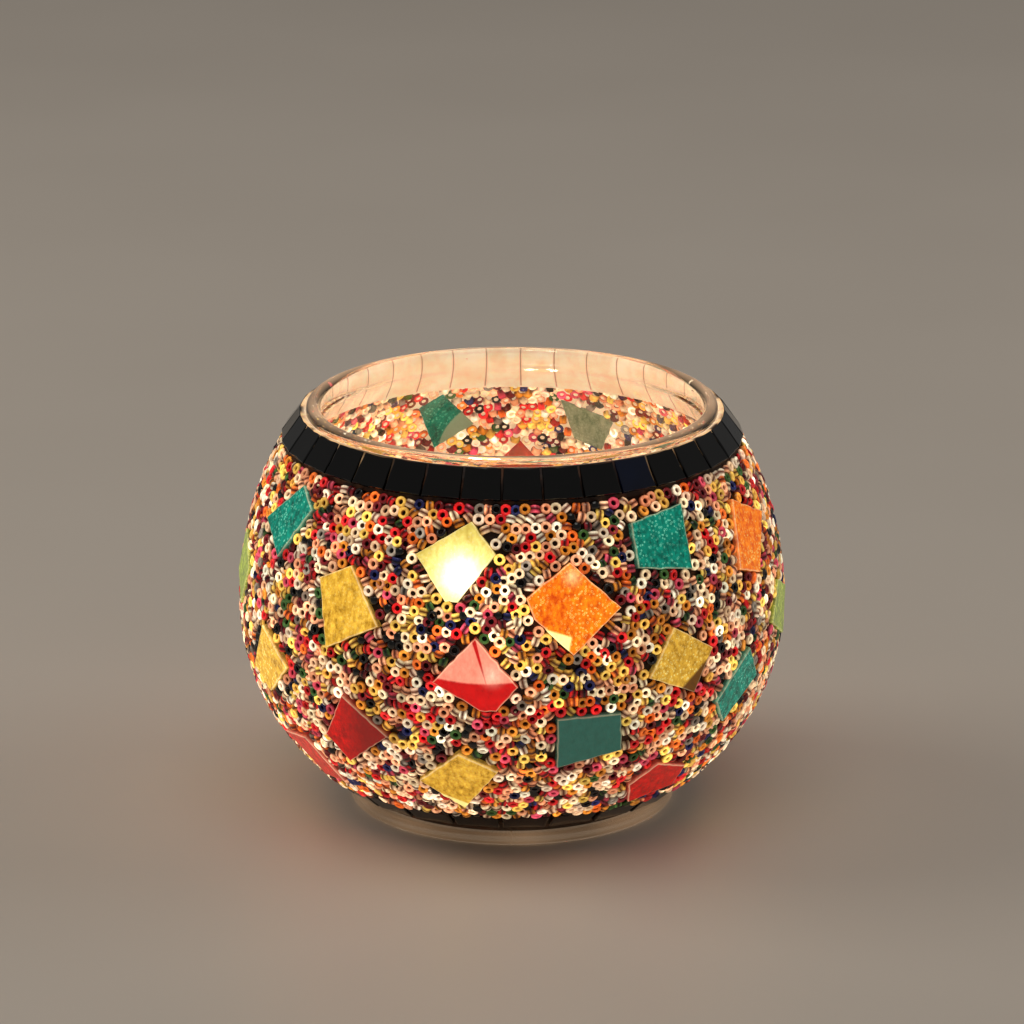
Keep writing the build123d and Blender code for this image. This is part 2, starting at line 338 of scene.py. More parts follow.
class Recipe:
    """Builds the nodes of one finish."""

    def __init__(self, name: str) -> None:
        """Starts a finish that has one shader and one output.

        Args:
            name: The material's name.
        """
        self.material = bpy.data.materials.new(name)
        self.material.use_nodes = True
        self.tree = self.material.node_tree
        self.shader = self.tree.nodes["Principled BSDF"]
        self.output = self.tree.nodes["Material Output"]

    def add(self, kind: str, **settings: object) -> bpy.types.Node:
        """Adds a node of a kind with these settings.

        Args:
            kind: The node's type.
            **settings: Its properties and their values.

        Returns:
            The node.
        """
        node = self.tree.nodes.new(kind)
        for key, value in settings.items():
            setattr(node, key, value)
        return node

    def feed(self, socket: bpy.types.NodeSocket, value: object) -> None:
        """Links a socket into another, or sets its number or colour.

        Args:
            socket: The input.
            value: A socket to link, or a number or colour.
        """
        if isinstance(value, bpy.types.NodeSocket):
            self.tree.links.new(value, socket)
            return
        if socket.type == "RGBA" and len(value) == 3:
            value = (*value, 1.0)
        socket.default_value = value

    def set(self, **inputs: object) -> "Recipe":
        """Sets or links the shader's inputs, named with underscores for spaces."""
        for key, value in inputs.items():
            self.feed(self.shader.inputs[key.replace("_", " ")], value)
        return self

    def attribute(self, name: str, vector: bool = False) -> bpy.types.NodeSocket:
        """Reads a value that the mesh keeps at each vertex."""
        node = self.add("ShaderNodeAttribute", attribute_name=name)
        return node.outputs["Vector" if vector else "Fac"]

    def place(self) -> bpy.types.NodeSocket:
        """The point's place in the piece's own coordinates, in metres."""
        return self.add("ShaderNodeTexCoord").outputs["Object"]

    def calc(self, operation: str, *values: object) -> bpy.types.NodeSocket:
        """Works out a number from one to three numbers.

        Args:
            operation: What is worked out.
            *values: Numbers or sockets.

        Returns:
            The result's socket.
        """
        node = self.add("ShaderNodeMath", operation=operation)
        for socket, value in zip(node.inputs, values):
            self.feed(socket, value)
        return node.outputs[0]

    def times(self, product: object, *others: object) -> bpy.types.NodeSocket:
        """Multiplies two or more numbers together."""
        for other in others:
            product = self.calc("MULTIPLY", product, other)
        return product

    def parts(self, vector: bpy.types.NodeSocket) -> bpy.types.NodeOutputs:
        """Splits a vector into outputs named X, Y and Z."""
        node = self.add("ShaderNodeSeparateXYZ")
        self.feed(node.inputs[0], vector)
        return node.outputs

    def vector(self, operation: str, *values: object) -> bpy.types.Node:
        """Works out a vector, and returns the node so that either output can be used.

        Args:
            operation: What is worked out.
            *values: Vectors or sockets.

        Returns:
            The node.
        """
        node = self.add("ShaderNodeVectorMath", operation=operation)
        for socket, value in zip(node.inputs, values):
            self.feed(socket, value)
        return node

    def noise(
        self, place: bpy.types.NodeSocket, scale: float, detail: float = 2.0, rough: float = 0.5
    ) -> bpy.types.NodeSocket:
        """Soft random variation from 0 to 1.

        Args:
            place: Where it is read.
            scale: Waves in each unit of place.
            detail: How many finer layers it has.
            rough: How strong the finer layers are.

        Returns:
            The result's socket.
        """
        node = self.add("ShaderNodeTexNoise")
        self.feed(node.inputs["Vector"], place)
        self.feed(node.inputs["Scale"], scale)
        self.feed(node.inputs["Detail"], detail)
        self.feed(node.inputs["Roughness"], rough)
        return node.outputs[0]

    def cells(self, place: bpy.types.NodeSocket, scale: float) -> bpy.types.NodeSocket:
        """Distance to the nearest of many scattered points.

        Args:
            place: Where it is read.
            scale: Points in each unit of place.

        Returns:
            The result's socket.
        """
        node = self.add("ShaderNodeTexVoronoi")
        self.feed(node.inputs["Vector"], place)
        self.feed(node.inputs["Scale"], scale)
        return node.outputs["Distance"]

    def span(
        self, value: object, low: float, high: float, to_low: float = 0.0, to_high: float = 1.0
    ) -> bpy.types.NodeSocket:
        """Stretches the values between low and high to run between two others, and no further.

        Args:
            value: The number to stretch.
            low: Where the stretch starts.
            high: Where it ends.
            to_low: The result at low.
            to_high: The result at high.

        Returns:
            The result's socket.
        """
        node = self.add("ShaderNodeMapRange", clamp=True)
        for key, part in (
            ("Value", value),
            ("From Min", low),
            ("From Max", high),
            ("To Min", to_low),
            ("To Max", to_high),
        ):
            self.feed(node.inputs[key], part)
        return node.outputs[0]

    def mix(self, share: object, first: object, second: object) -> bpy.types.NodeSocket:
        """Mixes two colours.

        Args:
            share: How much of the second is in the mix, from 0 to 1.
            first: The colour at 0.
            second: The colour at 1.

        Returns:
            The result's socket.
        """
        node = self.add("ShaderNodeMix", data_type="RGBA")
        self.feed(node.inputs[0], share)
        self.feed(node.inputs[6], first)
        self.feed(node.inputs[7], second)
        return node.outputs[2]

    def bump(self, height: object, strength: float, depth: float) -> bpy.types.NodeSocket:
        """Turns a height into small relief, its depth in millimetres.

        Args:
            height: The relief, from 0 to 1.
            strength: How strongly it shows.
            depth: Its depth.

        Returns:
            The normal's socket.
        """
        node = self.add("ShaderNodeBump")
        self.feed(node.inputs["Strength"], strength)
        self.feed(node.inputs["Distance"], depth * MM)
        self.feed(node.inputs["Height"], height)
        return node.outputs[0]

    def near(
        self, place: bpy.types.NodeSocket, spot: Sequence[float], spread: float
    ) -> bpy.types.NodeSocket:
        """1 at a spot, falling softly to 0 at a distance from it."""
        away = self.vector("DISTANCE", place, tuple(spot)).outputs["Value"]
        share = self.span(away, 0.0, spread, 1.0, 0.0)
        return self.times(share, share)


@dataclass(frozen=True)
class Candlelight:
    """The warm light inside, which sets how strongly each piece of the cladding glows."""

    flame: tuple[float, float, float] = (-8.5, 3.0, 42.0)
    even_distance: float = 56.0
    falloff: float = 1.6

    def reach(self, points: np.ndarray) -> np.ndarray:
        """How much of the flame's light reaches points, as 1 at the even distance.

        Args:
            points: Rows of x, y, z in millimetres.

        Returns:
            One number for each row.
        """
        away = np.linalg.norm(points - np.array(self.flame), axis=-1)
        return (self.even_distance / away) ** self.falloff


LIGHT = Candlelight()


@dataclass(frozen=True)
class ClearGlass:
    """Thick clear glass with faint moulding waves. Lamps shine through it."""

    tint: Colour = (0.985, 0.99, 0.975)
    roughness: float = 0.03

    def make(self) -> bpy.types.Material:
        """Builds the finish.

        Returns:
            The material.
        """
        recipe = Recipe("clear_glass")
        place = recipe.place()
        waves = recipe.noise(place, 55.0, 1.0)
        marks = recipe.noise(place, 420.0, 2.0)
        recipe.set(
            Base_Color=self.tint,
            Transmission_Weight=1.0,
            IOR=1.47,
            Roughness=recipe.span(marks, 0.3, 0.75, self.roughness * 0.5, self.roughness * 1.6),
            Normal=recipe.bump(waves, 0.16, 0.5),
        )
        edge = recipe.attribute("edge_light")
        recipe.set(
            Emission_Color=linear(255, 206, 160),
            Emission_Strength=recipe.times(edge, recipe.span(waves, 0.3, 0.7, 0.25, 0.6)),
        )
        clear = recipe.add("ShaderNodeBsdfTransparent")
        recipe.feed(clear.inputs[0], self.tint)
        path = recipe.add("ShaderNodeLightPath")
        join = recipe.add("ShaderNodeMixShader")
        recipe.feed(join.inputs[0], path.outputs["Is Shadow Ray"])
        recipe.feed(join.inputs[1], recipe.shader.outputs[0])
        recipe.feed(join.inputs[2], clear.outputs[0])
        recipe.feed(recipe.output.inputs[0], join.outputs[0])
        return recipe.material


@dataclass(frozen=True)
class Adhesive:
    """Cream adhesive, with a painted glow inside and painted dark shade in the gaps outside."""

    cream: Colour = linear(244, 218, 186)
    deep_cream: Colour = linear(226, 192, 152)
    seam: Colour = linear(150, 112, 78)
    # Painted shade: the two dark browns colour the outer face in the gaps, which lies in shadow
    # between the beads.
    shade: Colour = linear(44, 24, 12)
    warm_shade: Colour = linear(112, 66, 34)
    passed_light: Colour = linear(255, 204, 146)
    glow: float = 0.52
    joint_count: int = 36
    first_joint: float = 7.5
    joints_from: float = 80.5
    seam_edge: tuple[float, float] = (0.012, 0.035)
    lit_sides: tuple[float, float] = (24.0, 40.0)
    lit_above: tuple[float, float] = (1.4, 2.2)

    def make(self) -> bpy.types.Material:
        """Builds the finish, which reads how far inside each vertex is.

        Returns:
            The material.
        """
        recipe = Recipe("cream_adhesive")
        place = recipe.place()
        inside = recipe.attribute("inside")
        mottle = recipe.noise(place, 260.0, 3.0)
        lumps = recipe.noise(place, 900.0, 2.0)
        seams = self._joints(recipe, place)
        cream = recipe.mix(recipe.span(mottle, 0.35, 0.7), self.cream, self.deep_cream)
        cream = recipe.mix(recipe.times(seams, 0.8), cream, self.seam)
        # Painted shade: the outer face is mottled between the two dark browns in place of the cream.
        dark = recipe.mix(recipe.span(mottle, 0.5, 0.75), self.shade, self.warm_shade)
        passed = self._passed(recipe, place)
        dark = recipe.mix(passed, dark, self.passed_light)
        colour = recipe.mix(inside, dark, cream)
        recipe.set(
            Base_Color=colour,
            Roughness=recipe.span(lumps, 0.3, 0.7, 0.5, 0.75),
            Emission_Color=colour,
            Emission_Strength=recipe.times(recipe.calc("MAXIMUM", inside, passed), self.glow),
            Normal=recipe.bump(lumps, 0.5, 0.25),
        )
        return recipe.material

    def _passed(self, recipe: Recipe, place: bpy.types.NodeSocket) -> bpy.types.NodeSocket:
        """Share of light that passes out through the black course's joints, most at the sides.

        Args:
            recipe: The finish it belongs to.
            place: The point's place.

        Returns:
            The result's socket.
        """
        parts = recipe.parts(place)
        near, far = (side * MM for side in self.lit_sides)
        side = recipe.span(recipe.calc("ABSOLUTE", parts["X"]), near, far)
        low, full = ((self.joints_from + rise) * MM for rise in self.lit_above)
        high = recipe.span(parts["Z"], low, full)
        patches = recipe.span(recipe.noise(place, 160.0, 1.0), 0.34, 0.52)
        return recipe.times(side, high, patches)

    def _joints(self, recipe: Recipe, place: bpy.types.NodeSocket) -> bpy.types.NodeSocket:
        """Faint upright lines where the black course's joints show through from behind.

        Args:
            recipe: The finish it belongs to.
            place: The point's place.

        Returns:
            The result's socket.
        """
        parts = recipe.parts(place)
        turn = recipe.calc("ARCTAN2", parts["X"], recipe.times(parts["Y"], -1.0))
        turn = recipe.times(turn, self.joint_count / (2 * math.pi))
        # 10 keeps the number of joints above 0, and 0.5 puts each joint in mid-fraction.
        turn = recipe.calc("ADD", turn, 10.5 - self.first_joint * self.joint_count / 360)
        away = recipe.calc("ABSOLUTE", recipe.calc("SUBTRACT", recipe.calc("FRACT", turn), 0.5))
        high = recipe.span(parts["Z"], self.joints_from * MM, (self.joints_from + 0.4) * MM)
        return recipe.times(recipe.span(away, *self.seam_edge, 1.0, 0.0), high)


@dataclass(frozen=True)
class BeadFinish:
    """Glass seed beads of one colour, with painted light at the two ends and painted shade in the
    hole and the middle.
    """

    name: str
    share: float
    # Painted light and shade: the first colour is the bright lit colour at the ends, the second the
    # painted shade in the hole and the middle.
    rim: Colour
    shaded_core: Colour
    glow: float = 1.0
    slot: str = "seed_beads"

    def make(self) -> bpy.types.Material:
        """Builds the finish, which reads each vertex's rim, glow and tone.

        Returns:
            The material.
        """
        recipe = Recipe(f"beads_{self.name}")
        place = recipe.place()
        # Painted light: the rim share is 1 where the bead is painted bright and near 0 where it is
        # painted in shade.
        rim = recipe.span(recipe.attribute("rim"), 0.12, 0.9)
        tone = recipe.attribute("tone")
        lit = recipe.attribute("glow")
        swirl = recipe.noise(place, 1500.0, 1.0)
        pale = tuple(min(1.0, channel * 1.3 + 0.02) for channel in self.rim)
        deep = tuple(channel * warm for channel, warm in zip(self.rim, (0.72, 0.5, 0.42)))
        bright = recipe.mix(recipe.span(tone, 0.0, 1.0), deep, pale)
        bright = recipe.mix(recipe.span(swirl, 0.35, 0.8, 0.0, 0.5), bright, self.rim)
        # The colour itself carries the painted light and shade, from the dark colour at rim share 0
        # to the bright colour at 1.
        colour = recipe.mix(rim, self.shaded_core, bright)
        strength = recipe.times(lit, recipe.span(rim, 0.0, 1.0, 0.35, 1.0))
        glint = recipe.noise(place, 1100.0, 2.0)
        strength = recipe.times(strength, recipe.span(glint, 0.35, 0.68, 0.55, 1.5))
        recipe.set(
            Base_Color=colour,
            Roughness=recipe.span(swirl, 0.2, 0.8, 0.08, 0.2),
            IOR=1.52,
            Coat_Weight=0.4,
            Coat_Roughness=0.05,
            Emission_Color=colour,
            Emission_Strength=recipe.times(strength, self.glow),
        )
        return recipe.material


@dataclass(frozen=True)
class CourseGlass:
    """Opaque glossy strip glass of the two plain courses."""

    name: str
    body: Colour
    sheen: Colour
    roughness: float = 0.06

    def make(self) -> bpy.types.Material:
        """Builds the finish.

        Returns:
            The material.
        """
        recipe = Recipe(self.name)
        place = recipe.place()
        drift = recipe.noise(place, 70.0, 2.0)
        fine = recipe.noise(place, 600.0, 2.0)
        recipe.set(
            Base_Color=recipe.mix(recipe.span(drift, 0.4, 0.8), self.body, self.sheen),
            Roughness=recipe.span(fine, 0.3, 0.8, self.roughness, self.roughness * 2.4),
            IOR=1.5,
            Coat_Weight=0.15,
            Coat_Roughness=0.03,
            Normal=recipe.bump(drift, 0.25, 0.5),
        )
        return recipe.material


class Glass(Enum):
    """Colours of the hand-cut tiles: deep and light shade, flecks, and how much light they pass."""

    TEAL = (linear(2, 78, 66), linear(10, 150, 124), linear(130, 232, 196), 0.85)
    SAGE = (linear(128, 146, 116), linear(184, 196, 164), linear(220, 226, 196), 0.6)
    LIME = (linear(86, 112, 8), linear(164, 186, 30), linear(226, 236, 110), 0.8)
    GOLD = (linear(168, 118, 22), linear(232, 180, 62), linear(255, 232, 136), 1.05)
    YELLOW = (linear(222, 186, 66), linear(250, 228, 116), linear(255, 248, 190), 0.82)
    ORANGE = (linear(224, 74, 2), linear(255, 140, 24), linear(255, 214, 110), 1.35)
    ROSE = (linear(150, 12, 22), linear(226, 96, 92), linear(255, 190, 176), 1.0)
    RED = (linear(138, 0, 1), linear(190, 1, 3), linear(248, 60, 36), 1.1)

    @property
    def slot(self) -> str:
        """The record's material slot for this glass."""
        return f"{self.name.lower()}_glass"


@dataclass(frozen=True)
class Wedge:
    """Part of a tile past a line, with its own colour: where the line passes, and its normal."""

    passes: tuple[float, float]
    towards: tuple[float, float]
    colour: Colour
    glow: float = 1.0
    soft: float = 0.25
    bow: float = 0.0
    stops: tuple[tuple[float, float], tuple[float, float]] | None = None


@dataclass(frozen=True)
class HotSpot:
    """The flame seen through a tile: its middle, its spread and its strength."""

    middle: tuple[float, float]
    spread: float
    strength: float
    colour: Colour = (1.0, 0.93, 0.72)


@dataclass(frozen=True)
class TileGlass:
    """Streaky, flecked art glass, lit from behind."""

    glass: Glass
    number: int
    lit: float
    wedges: tuple[Wedge, ...] = ()
    hot: tuple[HotSpot, ...] = ()
    flecked: float = 1.0

    def make(self) -> bpy.types.Material:
        """Builds the finish in the tile's own flat coordinates, in millimetres.

        Returns:
            The material.
        """
        deep, light, fleck, passes = self.glass.value
        recipe = Recipe(f"tile_glass_{self.number:02d}")
        local = recipe.attribute("local_mm", vector=True)
        shifted = recipe.vector("ADD", local, (self.number * 37.0, 0.0, 0.0)).outputs[0]
        drawn = recipe.vector("MULTIPLY", shifted, (1.0, 0.6, 1.0)).outputs[0]
        streak = recipe.noise(drawn, 0.75, 5.0, 0.72)
        cloud = recipe.noise(shifted, 0.16, 3.0)
        grit = recipe.cells(shifted, 1.35)
        sparkle = recipe.cells(shifted, 2.6)
        body = recipe.mix(recipe.span(streak, 0.36, 0.66), deep, light)
        body = recipe.mix(recipe.span(cloud, 0.42, 0.7, 0.0, 0.55), body, light)
        ring = recipe.calc("ABSOLUTE", recipe.calc("SUBTRACT", grit, 0.26))
        flecks = recipe.times(recipe.span(ring, 0.10, 0.02), recipe.span(cloud, 0.3, 0.6))
        body = recipe.mix(recipe.times(flecks, 0.85 * self.flecked), body, fleck)
        pits = recipe.times(recipe.span(sparkle, 0.22, 0.1), 0.5 * self.flecked)
        body = recipe.mix(pits, body, tuple(channel * 0.45 for channel in deep))
        strength: object = recipe.span(streak, 0.3, 0.75, 0.62, 1.25)
        for wedge in self.wedges:
            share = self._past(recipe, local, wedge)
            body = recipe.mix(share, body, wedge.colour)
            strength = recipe.times(strength, recipe.span(share, 0.0, 1.0, 1.0, wedge.glow))
        # Painted light: the arris is lightened to a cream outline, standing for light that shows
        # through the adhesive at the tile's edge.
        arris = recipe.times(recipe.attribute("edge"), 0.5)
        body = recipe.mix(arris, body, linear(246, 224, 178))
        face = recipe.span(recipe.parts(local)["Z"], -0.7, -0.25, 0.25, 1.0)
        glow = recipe.times(strength, face, passes * self.lit)
        emitted = body
        for spot in self.hot:
            share = recipe.near(local, (*spot.middle, 0.0), spot.spread)
            emitted = recipe.mix(share, emitted, spot.colour)
            glow = recipe.calc("ADD", glow, recipe.times(share, spot.strength))
        recipe.set(
            Base_Color=body,
            Roughness=recipe.span(grit, 0.1, 0.6, 0.10, 0.22),
            IOR=1.52,
            Coat_Weight=0.35,
            Coat_Roughness=0.05,
            Emission_Color=emitted,
            Emission_Strength=glow,
            Normal=recipe.bump(streak, 0.35, 0.25),
        )
        return recipe.material

    @staticmethod
    def _past(
        recipe: Recipe, local: bpy.types.NodeSocket, wedge: Wedge
    ) -> bpy.types.NodeSocket:
        """Share of a wedge's colour at each point, from its line on and up to where it stops.

        Args:
            recipe: The finish it belongs to.
            local: The point's place on the tile.
            wedge: The wedge.

        Returns:
            The result's socket.
        """
        share = TileGlass._beyond(recipe, local, wedge.passes, wedge.towards, wedge.soft, wedge.bow)
        if wedge.stops:
            ended = TileGlass._beyond(recipe, local, *wedge.stops, wedge.soft, 0.0)
            share = recipe.times(share, recipe.calc("SUBTRACT", 1.0, ended))
        return share

    @staticmethod
    def _beyond(
        recipe: Recipe,
        local: bpy.types.NodeSocket,
        passes: tuple[float, float],
        towards: tuple[float, float],
        soft: float,
        bow: float,
    ) -> bpy.types.NodeSocket:
        """1 past a line and 0 before it, with a soft step, the line bowed if asked.

        Args:
            recipe: The finish it belongs to.
            local: The point's place on the tile.
            passes: A point of the line.
            towards: The direction past the line.
            soft: Half the width of the step.
            bow: How much the line bends.

        Returns:
            The result's socket.
        """
        turned = math.hypot(*towards)
        normal = (towards[0] / turned, towards[1] / turned, 0.0)
        from_line = recipe.vector("SUBTRACT", local, (*passes, 0.0)).outputs[0]
        height = recipe.vector("DOT_PRODUCT", from_line, normal).outputs["Value"]
        if bow:
            along = (-normal[1], normal[0], 0.0)
            side = recipe.vector("DOT_PRODUCT", from_line, along).outputs["Value"]
            height = recipe.calc("SUBTRACT", height, recipe.times(side, side, bow))
        return recipe.span(height, -soft, soft)


@dataclass(frozen=True)
class PressedAluminium:
    """Thin bright pressed aluminium with fine turning marks."""

    def make(self) -> bpy.types.Material:
        """Builds the finish.

        Returns:
            The material.
        """
        recipe = Recipe("pressed_aluminium")
        place = recipe.place()
        turned = recipe.vector("MULTIPLY", place, (1.0, 1.0, 14.0)).outputs[0]
        marks = recipe.noise(turned, 700.0, 3.0)
        smudge = recipe.noise(place, 120.0, 2.0)
        recipe.set(
            Base_Color=recipe.mix(smudge, linear(196, 194, 190), linear(226, 224, 220)),
            Metallic=1.0,
            Roughness=recipe.span(marks, 0.3, 0.7, 0.22, 0.42),
            Normal=recipe.bump(marks, 0.12, 0.08),
        )
        return recipe.material


@dataclass(frozen=True)
class CandleWax:
    """Warm white wax, lit through near the flame, with a clear molten pool."""

    def make(self) -> bpy.types.Material:
        """Builds the finish, which reads how molten each vertex is.

        Returns:
            The material.
        """
        recipe = Recipe("candle_wax")
        place = recipe.place()
        pool = recipe.attribute("pool")
        grain = recipe.noise(place, 500.0, 3.0)
        pale = recipe.mix(grain, linear(222, 204, 172), linear(234, 218, 190))
        body = recipe.mix(pool, pale, linear(212, 160, 96))
        recipe.set(
            Base_Color=body,
            Roughness=recipe.span(pool, 0.0, 1.0, 0.5, 0.06),
            Subsurface_Weight=0.2,
            Subsurface_Scale=0.003,
            Emission_Color=recipe.mix(pool, linear(250, 190, 120), linear(255, 214, 140)),
            Emission_Strength=recipe.span(pool, 0.0, 1.0, 0.06, 0.16),
            Normal=recipe.bump(grain, 0.2, 0.1),
        )
        return recipe.material


@dataclass(frozen=True)
class WickCord:
    """Braided cotton, waxed pale at the foot, charred black above and glowing at the tip."""

    def make(self) -> bpy.types.Material:
        """Builds the finish, which reads how far up the wick each vertex is.

        Returns:
            The material.
        """
        recipe = Recipe("wick_cord")
        place = recipe.place()
        up = recipe.attribute("up")
        braid = recipe.noise(place, 2600.0, 2.0)
        cotton = recipe.mix(braid, linear(206, 188, 154), linear(236, 222, 192))
        charred = recipe.mix(braid, linear(10, 8, 7), linear(44, 34, 28))
        recipe.set(
            Base_Color=recipe.mix(recipe.span(up, 0.74, 0.84), cotton, charred),
            Roughness=0.9,
            Emission_Color=linear(255, 96, 20),
            Emission_Strength=recipe.times(recipe.span(up, 0.95, 1.0), 3.0),
            Normal=recipe.bump(braid, 0.6, 0.15),
        )
        return recipe.material


@dataclass(frozen=True)
class TinnedSteel:
    """Dull tinned sheet steel."""

    def make(self) -> bpy.types.Material:
        """Builds the finish.

        Returns:
            The material.
        """
        recipe = Recipe("tinned_steel")
        grain = recipe.noise(recipe.place(), 900.0, 3.0)
        recipe.set(
            Base_Color=recipe.mix(grain, linear(150, 148, 142), linear(186, 184, 178)),
            Metallic=1.0,
            Roughness=recipe.span(grain, 0.3, 0.7, 0.3, 0.5),
            Normal=recipe.bump(grain, 0.1, 0.05),
        )
        return recipe.material


@dataclass(frozen=True)
class FlameLight:
    """A candle flame: blue at its foot, white-gold in the middle and orange at its tip."""

    def make(self) -> bpy.types.Material:
        """Builds the finish, which reads how far up the flame each vertex is.

        Returns:
            The material.
        """
        recipe = Recipe("candle_flame")
        up = recipe.attribute("up")
        flicker = recipe.noise(recipe.place(), 220.0, 1.0)
        height = recipe.calc("ADD", up, recipe.span(flicker, 0.0, 1.0, -0.05, 0.05))
        blue, gold, orange = linear(120, 140, 255), linear(255, 206, 120), linear(255, 150, 50)
        low = recipe.mix(recipe.span(height, 0.05, 0.25), blue, gold)
        colour = recipe.mix(recipe.span(height, 0.6, 1.0), low, orange)
        recipe.set(
            Base_Color=colour,
            Roughness=1.0,
            Emission_Color=colour,
            Emission_Strength=recipe.span(height, 0.0, 0.35, 0.9, 3.6),
        )
        return recipe.material


# ---------------------------------------------------------------- sub-assemblies


@dataclass
class GlassBowl:
    """The clear bowl: heavy foot and floor, thin wall, and a turned, fire-polished lip."""

    cladding_depth: float = 2.8
    wall: float = 3.0
    lip_outer: float = 44.8
    lip_turn: float = 4.0
    floor: float = 5.0
    floor_fillet: float = 3.0
    foot: float = 35.8
    foot_rounding: float = 0.8
    foot_band: float = 1.5
    foot_light: float = 0.17
    lip_band: float = 0.9
    lip_light: float = 0.9
    segments: int = 240

    @property
    def turn_angle(self) -> float:
        """Slope at which the shoulder runs into the lip's turn, in radians."""
        reach = self.lip_outer + self.lip_turn - BODY.shoulder_centre[0]
        return math.acos(reach / (BODY.shoulder_radius - self.cladding_depth + self.lip_turn))

    @property
    def turn_centre(self) -> tuple[float, float]:
        """Centre of the lip's turn as radius and height."""
        return BODY.point(self.turn_angle, self.cladding_depth - self.lip_turn)

    def slope_at(self, height: float, depth: float) -> float:
        """Slope of the heel where it passes a height at a depth, in radians."""
        radius, _, centre_height = BODY.heel
        return math.asin((height - centre_height) / (radius - depth))

    def lip_turn_points(self, reach: float, steps: int) -> Outline:
        """The lip's turn, from the shoulder up to the straight lip, reach from its centre."""
        turned = math.degrees(self.turn_angle)
        return arc(self.turn_centre, reach, 180 + turned, 180, steps)

    def outline(self) -> Outline:
        """Section of the glass, from the middle of the underside round to the floor.

        Returns:
            Points as radius and height.
        """
        depth, inner = self.cladding_depth, self.cladding_depth + self.wall
        low = self.slope_at(BODY.foot_height, depth)
        floor_low = self.slope_at(self.floor, inner)
        rounding = self.foot_rounding
        top = BODY.overall_height - self.wall / 2
        points: Outline = [(0, 0), (12, 0), (24, 0)]
        points += arc((self.foot - rounding, rounding), rounding, -90, 0, 4)
        points += arc((self.foot - rounding, BODY.foot_height - rounding), rounding, 0, 90, 4)
        points += BODY.run(low, self.turn_angle, depth, 56)
        points += self.lip_turn_points(self.lip_turn, 6)[1:]
        points += arc((self.lip_outer - self.wall / 2, top), self.wall / 2, 0, 180, 12)
        points += self.lip_turn_points(self.lip_turn + self.wall, 6)[::-1]
        wall_start = self.slope_at(self.floor + self.floor_fillet, inner)
        points += BODY.run(wall_start, self.turn_angle, inner, 56)[::-1][1:]
        corner = BODY.point(floor_low, inner)
        points += [
            (corner[0] - 0.2, self.floor + 0.9),
            (corner[0] - 1.5, self.floor + 0.25),
            (corner[0] - self.floor_fillet, self.floor),
            (18, self.floor),
            (9, self.floor),
            (0, self.floor),
        ]
        return points

    def build(self) -> list[bpy.types.Object]:
        """Builds the bowl, puts it on the bowl's body and hides its CAD node.

        Returns:
            The pieces.
        """
        points, faces = lathe(self.outline(), self.segments)
        bowl = mesh_object("glass_bowl_body", points, faces, ClearGlass().make())
        radius, height = np.hypot(points[:, 0], points[:, 1]), points[:, 2]
        foot = (radius > self.foot - self.foot_band) & (height < BODY.foot_height + 0.1)
        lip = np.clip((height - BODY.overall_height + self.lip_band) / self.lip_band, 0, 1)
        add_attribute(bowl, "edge_light", self.foot_light * foot + self.lip_light * lip)
        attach(bowl, BOWL)
        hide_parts("glass_bowl")
        return [bowl]


def course_corners(
    count: int, joint: float, length: float, radius: float, tilt: float
) -> Outline:
    """Outline of one tile of a course that closes round the body, seen from outside.

    Args:
        count: How many tiles go round.
        joint: Width of the joint between two tiles.
        length: The tile's height along its slope.
        radius: Distance of its middle from the axis.
        tilt: Angle of its outward normal above level, in radians.

    Returns:
        The four corners, across and up.
    """
    corners = []
    for side, up in ((-1, 1), (1, 1), (1, -1), (-1, -1)):
        y = up * length / 2
        width = 2 * (radius - y * math.sin(tilt)) * math.tan(math.pi / count) - joint
        corners.append((side * width / 2, y))
    return corners


@dataclass
class BorderCourse:
    """The course of glossy black tiles round the shoulder, with one blue tile."""

    count: int = 36
    blue: int = 3
    first_azimuth: float = 2.5
    length: float = 7.1
    thickness: float = 1.5
    lean_over: float = 3.52
    setback: float = 11.9
    joint: float = 0.45
    rounding: float = 0.3
    seed: int = 11

    @property
    def lean(self) -> float:
        """Angle of the tiles' outward normal above level, in radians."""
        return BODY.tilt_at(BODY.neck_height) + math.radians(self.lean_over)

    def seat(self, index: int) -> Seat:
        """The outer face's place of one tile."""
        azimuth = self.first_azimuth + index * 360 / self.count
        return Seat.leaning(azimuth, BODY.body_radius - self.setback, BODY.neck_height, self.lean)

    def corners(self) -> Outline:
        """Outline of one tile, seen from outside."""
        radius = BODY.body_radius - self.setback
        return course_corners(self.count, self.joint, self.length, radius, self.lean)

    def build(self) -> list[bpy.types.Object]:
        """Builds the black course as one piece and the blue tile as another.

        Returns:
            The pieces.
        """
        black = CourseGlass("black_glass", linear(4, 3, 3), linear(12, 9, 8)).make()
        blue = CourseGlass("navy_glass", linear(7, 16, 36), linear(12, 26, 54)).make()
        pieces = []
        for name, node, slot, material, indices in (
            ("border_course", "border_tiles", "black_glass", black, self._others()),
            ("border_blue", "border_tile_blue", "navy_glass", blue, [self.blue]),
        ):
            piece = laid_tiles(
                name,
                [(self.seat(index), self.corners(), index) for index in indices],
                TileCut(self.thickness, self.rounding, 0.07, 0.5),
                material,
                self.seed,
            )
            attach(piece, BOWL)
            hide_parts(node)
            pieces.append(piece)
        return pieces

    def _others(self) -> list[int]:
        """Numbers of the black tiles."""
        return [index for index in range(self.count) if index != self.blue]


